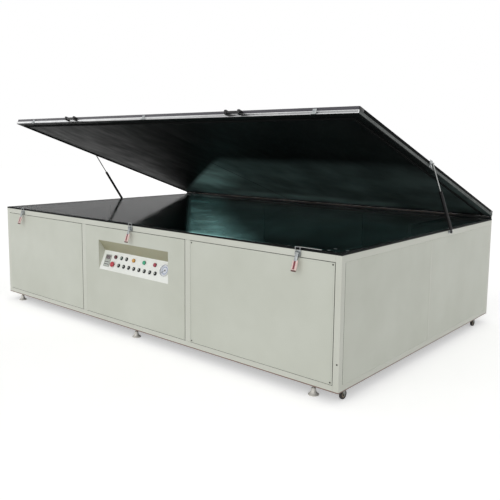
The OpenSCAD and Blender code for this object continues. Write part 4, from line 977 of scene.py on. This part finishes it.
big_head, small_head = pan_head(5.0, 2.5, 12), pan_head(4.2, 2.0, 2.5)
to_front, to_back = turned("X", 90), turned("X", -90)
HINGE_XS, HINGE_SCREW_X = (-1600, 0, 1600), 48


def hinge_places(y, near, far):
    """Five screws on a leaf: three in the row away from the pin and two nearer to it."""
    dx = HINGE_SCREW_X
    five = ((-dx, near), (-dx, far), (0, far), (dx, far), (dx, near))
    return [(x + away, y, z) for x in HINGE_XS for away, z in five]


screws = [
    ("front_panel_screws", big_head, to_front, screw_metal, "screw_steel", ["panel_screws"], "cabinet",
     [(x, -1151.5, z) for x in (635, 1745) for z in (125, 800)]),
    ("rear_panel_screws", big_head, to_back, screw_metal, "screw_steel", ["panel_screws"], "cabinet",
     [(side * x, HALF_D, z) for side in (-1, 1) for x in (1745, 635, 555) for z in (125, 800)]),
    ("hinge_leaf_screws", small_head, to_back, zinc, "zinc_steel", [], "lid",
     hinge_places(HALF_D + 2, 901, 919)),
    ("hinge_base_screws", small_head, to_back, zinc, "zinc_steel", [], "cabinet",
     hinge_places(HALF_D + 3, 852, 830)),
    ("post_screw", big_head, to_front, screw_metal, "screw_steel", [], "cabinet", [(1786, -HALF_D, 238)]),
]
for name, head, face, material, slot, replaced, body, places in screws:
    group = joined(name, [copied(head, "screw", at_mm(*place) @ face) for place in places])
    dressed(group, material, slot, *replaced, body=body)
removed(big_head, small_head)
print("screws", sum(len(row[-1]) for row in screws))

# %% [markdown]
# ## Levelling feet
# A levelling foot is a cast bell on the floor with a threaded stud in it, and a lock nut under the
# frame. The thread is drawn as rings one and three quarter millimetres apart: it has no spiral, which
# nobody can see at this size.

# %% Levelling feet
FOOT_H, STUD_R, NUT_R, PITCH = 70, 6.0, 11.0, 1.75
bell = stacked("bell", [(31.5, 0), (33.0, 1.2), (33.0, 5.0), (31.6, 6.6), (28.0, 9.0), (23.0, 14.0),
                        (18.5, 20.0), (15.6, 27.0), (14.2, 35.0), (13.6, 42.0), (12.4, 44.0),
                        (7.0, 44.3)], 48)
thread = [(STUD_R, 42.0)]
for number in range(9):
    low = 43.5 + PITCH * number
    thread += [(STUD_R, low), (STUD_R - 0.6, low + 0.6), (STUD_R - 0.6, low + 1.0), (STUD_R, low + 1.6)]
stud = stacked("stud", thread + [(STUD_R, FOOT_H)], 20)
nut = stacked("nut", [(NUT_R - 1.0, FOOT_H - 10), (NUT_R, FOOT_H - 9.2), (NUT_R, FOOT_H - 0.8),
                      (NUT_R - 1.0, FOOT_H)], 6)
foot = joined("foot", [bell, stud, nut])
spots = [(end + side, x, y) for end, y in (("front_", -1103), ("rear_", 1103))
         for side, x in (("left", -1660), ("middle", -10), ("right", 1604))]
for word, x, y in spots:
    dressed(copied(foot, "levelling_foot_" + word, at_mm(x, y, 0)), cast_zinc, "foot_steel", "levelling_feet")
removed(foot)
print("feet", len(spots))

# %% [markdown]
# ## Strips on the sides and over the floor's slots
# Each side is clad with two panels that meet at a post, and a narrow folded strip covers the joint.
# The joint round each side's sheets is filled with mastic and sprayed over, a little below the sheet.
# The floor pan stops short of the frame at both ends to let air in, and a folded black strip lies
# over each slot: a dark sheet that stands in for the shade under the cabinet, painted shade.

# %% Side and floor strips
PANEL_LOW, PANEL_HIGH, PANEL_Y, JOINT_W = 113, 812, 1107, 3
for word, side in SIDES:
    cover = block("side_cover_strip_" + word, (side * HALF_W, -9, PANEL_LOW + 1),
                  (side * (HALF_W + 0.9), 9, PANEL_HIGH - 1), 0.35, 2)
    dressed(cover, frame_paint, "panel_enamel")
    # A black strip over the floor's slot: painted shade for the floor under the cabinet
    strip = block("floor_slot_shade_strip_" + word, (side * 1704, -1109, 112.1), (side * 1758, 1109, 113.6), 0.4, 2)
    dressed(strip, floor_paint, "floor_paint")
    deep, shallow, end = side * (HALF_W - 2.0), side * (HALF_W - 0.5), PANEL_Y + JOINT_W
    runs = [block("run", (deep, -end, PANEL_LOW - JOINT_W), (shallow, end, PANEL_LOW), 0.2, 1),
            block("run", (deep, -end, PANEL_HIGH), (shallow, end, PANEL_HIGH + JOINT_W), 0.2, 1),
            block("run", (deep, PANEL_Y, PANEL_LOW), (shallow, end, PANEL_HIGH), 0.2, 1)]
    dressed(joined("side_joint_" + word, runs), panel_paint, "panel_enamel")
print("strips", 3 * len(SIDES))

# %% [markdown]
# ## Louvre hoods
# The slots in the rear panels are pressed louvres: the sheet above each slot is pushed out into a
# hood, so air gets out and no light does. A cube becomes a wedge when its upper outer edge is moved
# back to the panel. Its lower and rear faces are then deleted, and the shell gets the sheet's thickness.

# %% Louvre hoods
HOOD_HALF, HOOD_OUT, HOOD_H, HOOD_T = 154, 9.0, 14.0, 1.2
BAY_W, LOUVRES, LOUVRE_LOW, LOUVRE_STEP = 1190, 10, 175, 26
bpy.ops.mesh.primitive_cube_add(size=1, location=(0, HOOD_OUT / 2 * MM, HOOD_H / 2 * MM))
hood = started("hood", (2 * HOOD_HALF * MM, HOOD_OUT * MM, HOOD_H * MM))
bpy.ops.object.mode_set(mode="OBJECT")
for vertex in hood.data.vertices:
    if vertex.co.z > 1 * MM and vertex.co.y > 1 * MM:
        vertex.co.y = HOOD_OUT * 0.35 * MM
chosen(hood, "polygons", lambda face: face.normal.z < -0.9 or face.normal.y < -0.9)
cut_away()
bpy.ops.mesh.bevel(offset=1.8 * MM, segments=3, affect="EDGES")
bpy.ops.object.mode_set(mode="OBJECT")
thickened(hood, HOOD_T, -1)
smoothed(SMOOTH_HOOD)
hoods = [copied(hood, "hood", at_mm(bay * BAY_W, HALF_D, LOUVRE_LOW + LOUVRE_STEP * row))
         for bay in (-1, 0, 1) for row in range(LOUVRES)]
removed(hood)
dressed(joined("louvre_hoods", hoods), panel_paint, "panel_enamel")
print("louvre hoods", len(hoods))

# %% [markdown]
# ## Clips on the glass
# Small zinc clips hold the plate down at the front right, and two rubber stops on the black rim take
# the weight of the lid.

# %% Clips and stops
clips = [block("clip", (x - 9, y - 5, 866), (x + 9, y + 5, 868.6), 1.0, 3)
         for x, y in ((1683, -1101), (1682, -1032), (1767, -1042))]
dressed(joined("glass_clips", clips), zinc, "zinc_steel")
stop = stacked("stop", [(7.0, 866), (7.0, 867.6), (6.2, 868.8), (3.5, 869.4), (0.3, 869.5)], 24)
stops = [copied(stop, "stop", at_mm(*place, 0)) for place in ((1420, -1125), (1775, -667))]
removed(stop)
dressed(joined("lid_stops", stops), foot_rubber, "wheel_rubber")
print("clips", len(clips), "stops", len(stops))

# %% [markdown]
# ## Gauge dial
# The vacuum gauge has a white enamelled dial with a pale blue arc and black division marks, behind a
# flat glass with a chrome rim. The case, its post and the needle are CAD parts. Each mark is a small
# block that is turned round the post.

# %% Gauge dial
MARKS, MARK_STEP, FIRST_MARK = 31, 9, 135
on_gauge = on_console(330, 87)
dial_white = finish("enamelled_dial", "DDE1E9", "E6E9EF", 20, 2.0, 0.02, (0.30, 0.40))
dial_blue = finish("printed_blue_arc", "8C99B6", "9AA6C0", 10, 1.0, 0.01, (0.35, 0.45))
mark_black = finish("printed_black_marks", "2A2C33", "33363E", 6, 1.0, 0.01, (0.40, 0.50))
marks = []
for step in range(MARKS):
    half, low = (0.55, 31.5) if step % 5 == 0 else (0.3, 34.0)
    marks.append(block("mark", (-half, low, 3.3), (half, 38.0, 3.5), 0.08, 1))
    marks[-1].data.transform(turned("Z", FIRST_MARK - MARK_STEP * step))
gauge = [
    (hooped("gauge_dial", [(39.6, 3.0), (39.6, 3.3), (5.6, 3.35), (5.6, 3.0)]), dial_white, "gauge_steel"),
    (hooped("gauge_arc", [(29.0, 3.25), (29.0, 3.45), (22.0, 3.45), (22.0, 3.25)]), dial_blue, "gauge_steel"),
    (joined("gauge_marks", marks), mark_black, "needle_black"),
    (hooped("gauge_rim", [(41.9, 12.6), (42.8, 13.2), (42.6, 14.0), (40.6, 14.0), (39.9, 13.2),
                          (39.9, 12.2), (41.0, 12.2)]), chrome, "gauge_steel"),
    (stacked("gauge_pane", [(39.8, 11.2), (39.8, 12.4)], 64), clear_glass, "plate_glass"),
]
for piece, material, slot in gauge:
    dressed(piece, material, slot, place=on_gauge)
print("gauge marks", len(marks))

# %% [markdown]
# ## Timer face
# The timer has a smoked window with three digits over a pale panel with two rows of keys. The digits
# are plain figures of short bars. Window and keys stand in the recesses of the CAD part's face.

# %% Timer face
FACE, DIGIT_UP = 6, 26.6
on_timer = on_console(-326, 75)
BARS = [(0, 8, 3.5, 0.8), (0, -8, 3.5, 0.8)] + [(x, y, 0.8, 3.2) for y in (4, -4) for x in (-4.4, 4.4)]
digits = [block("bar", (x + dx - w, DIGIT_UP + dy - h, FACE - 0.4),
                (x + dx + w, DIGIT_UP + dy + h, FACE - 0.1), 0.12, 1)
          for x in (-15.5, 0, 15.5) for dx, dy, w, h in BARS]
keys = [block("key", (x - 4.8, y - 4.2, FACE - 0.5), (x + 4.8, y + 4.2, FACE - 0.05), 0.2, 2)
        for x in (-18, -6, 6, 18) for y in (-11, -29)]
timer = [
    (block("timer_window", (-25.6, 12.6, FACE - 1.5), (25.6, 40.6, FACE - 0.3), 0.4, 2), window_plastic),
    (joined("timer_digits", digits), digit_plastic),
    (block("timer_key_plate", (-25.6, -40.6, FACE - 1.0), (25.6, -1.2, FACE - 0.4), 0.2, 2), key_plastic),
    (joined("timer_keys", keys), window_plastic),
]
for piece, material in timer:
    dressed(piece, material, "timer_plastic", place=on_timer)
print("timer keys", len(keys), "digit bars", len(digits))
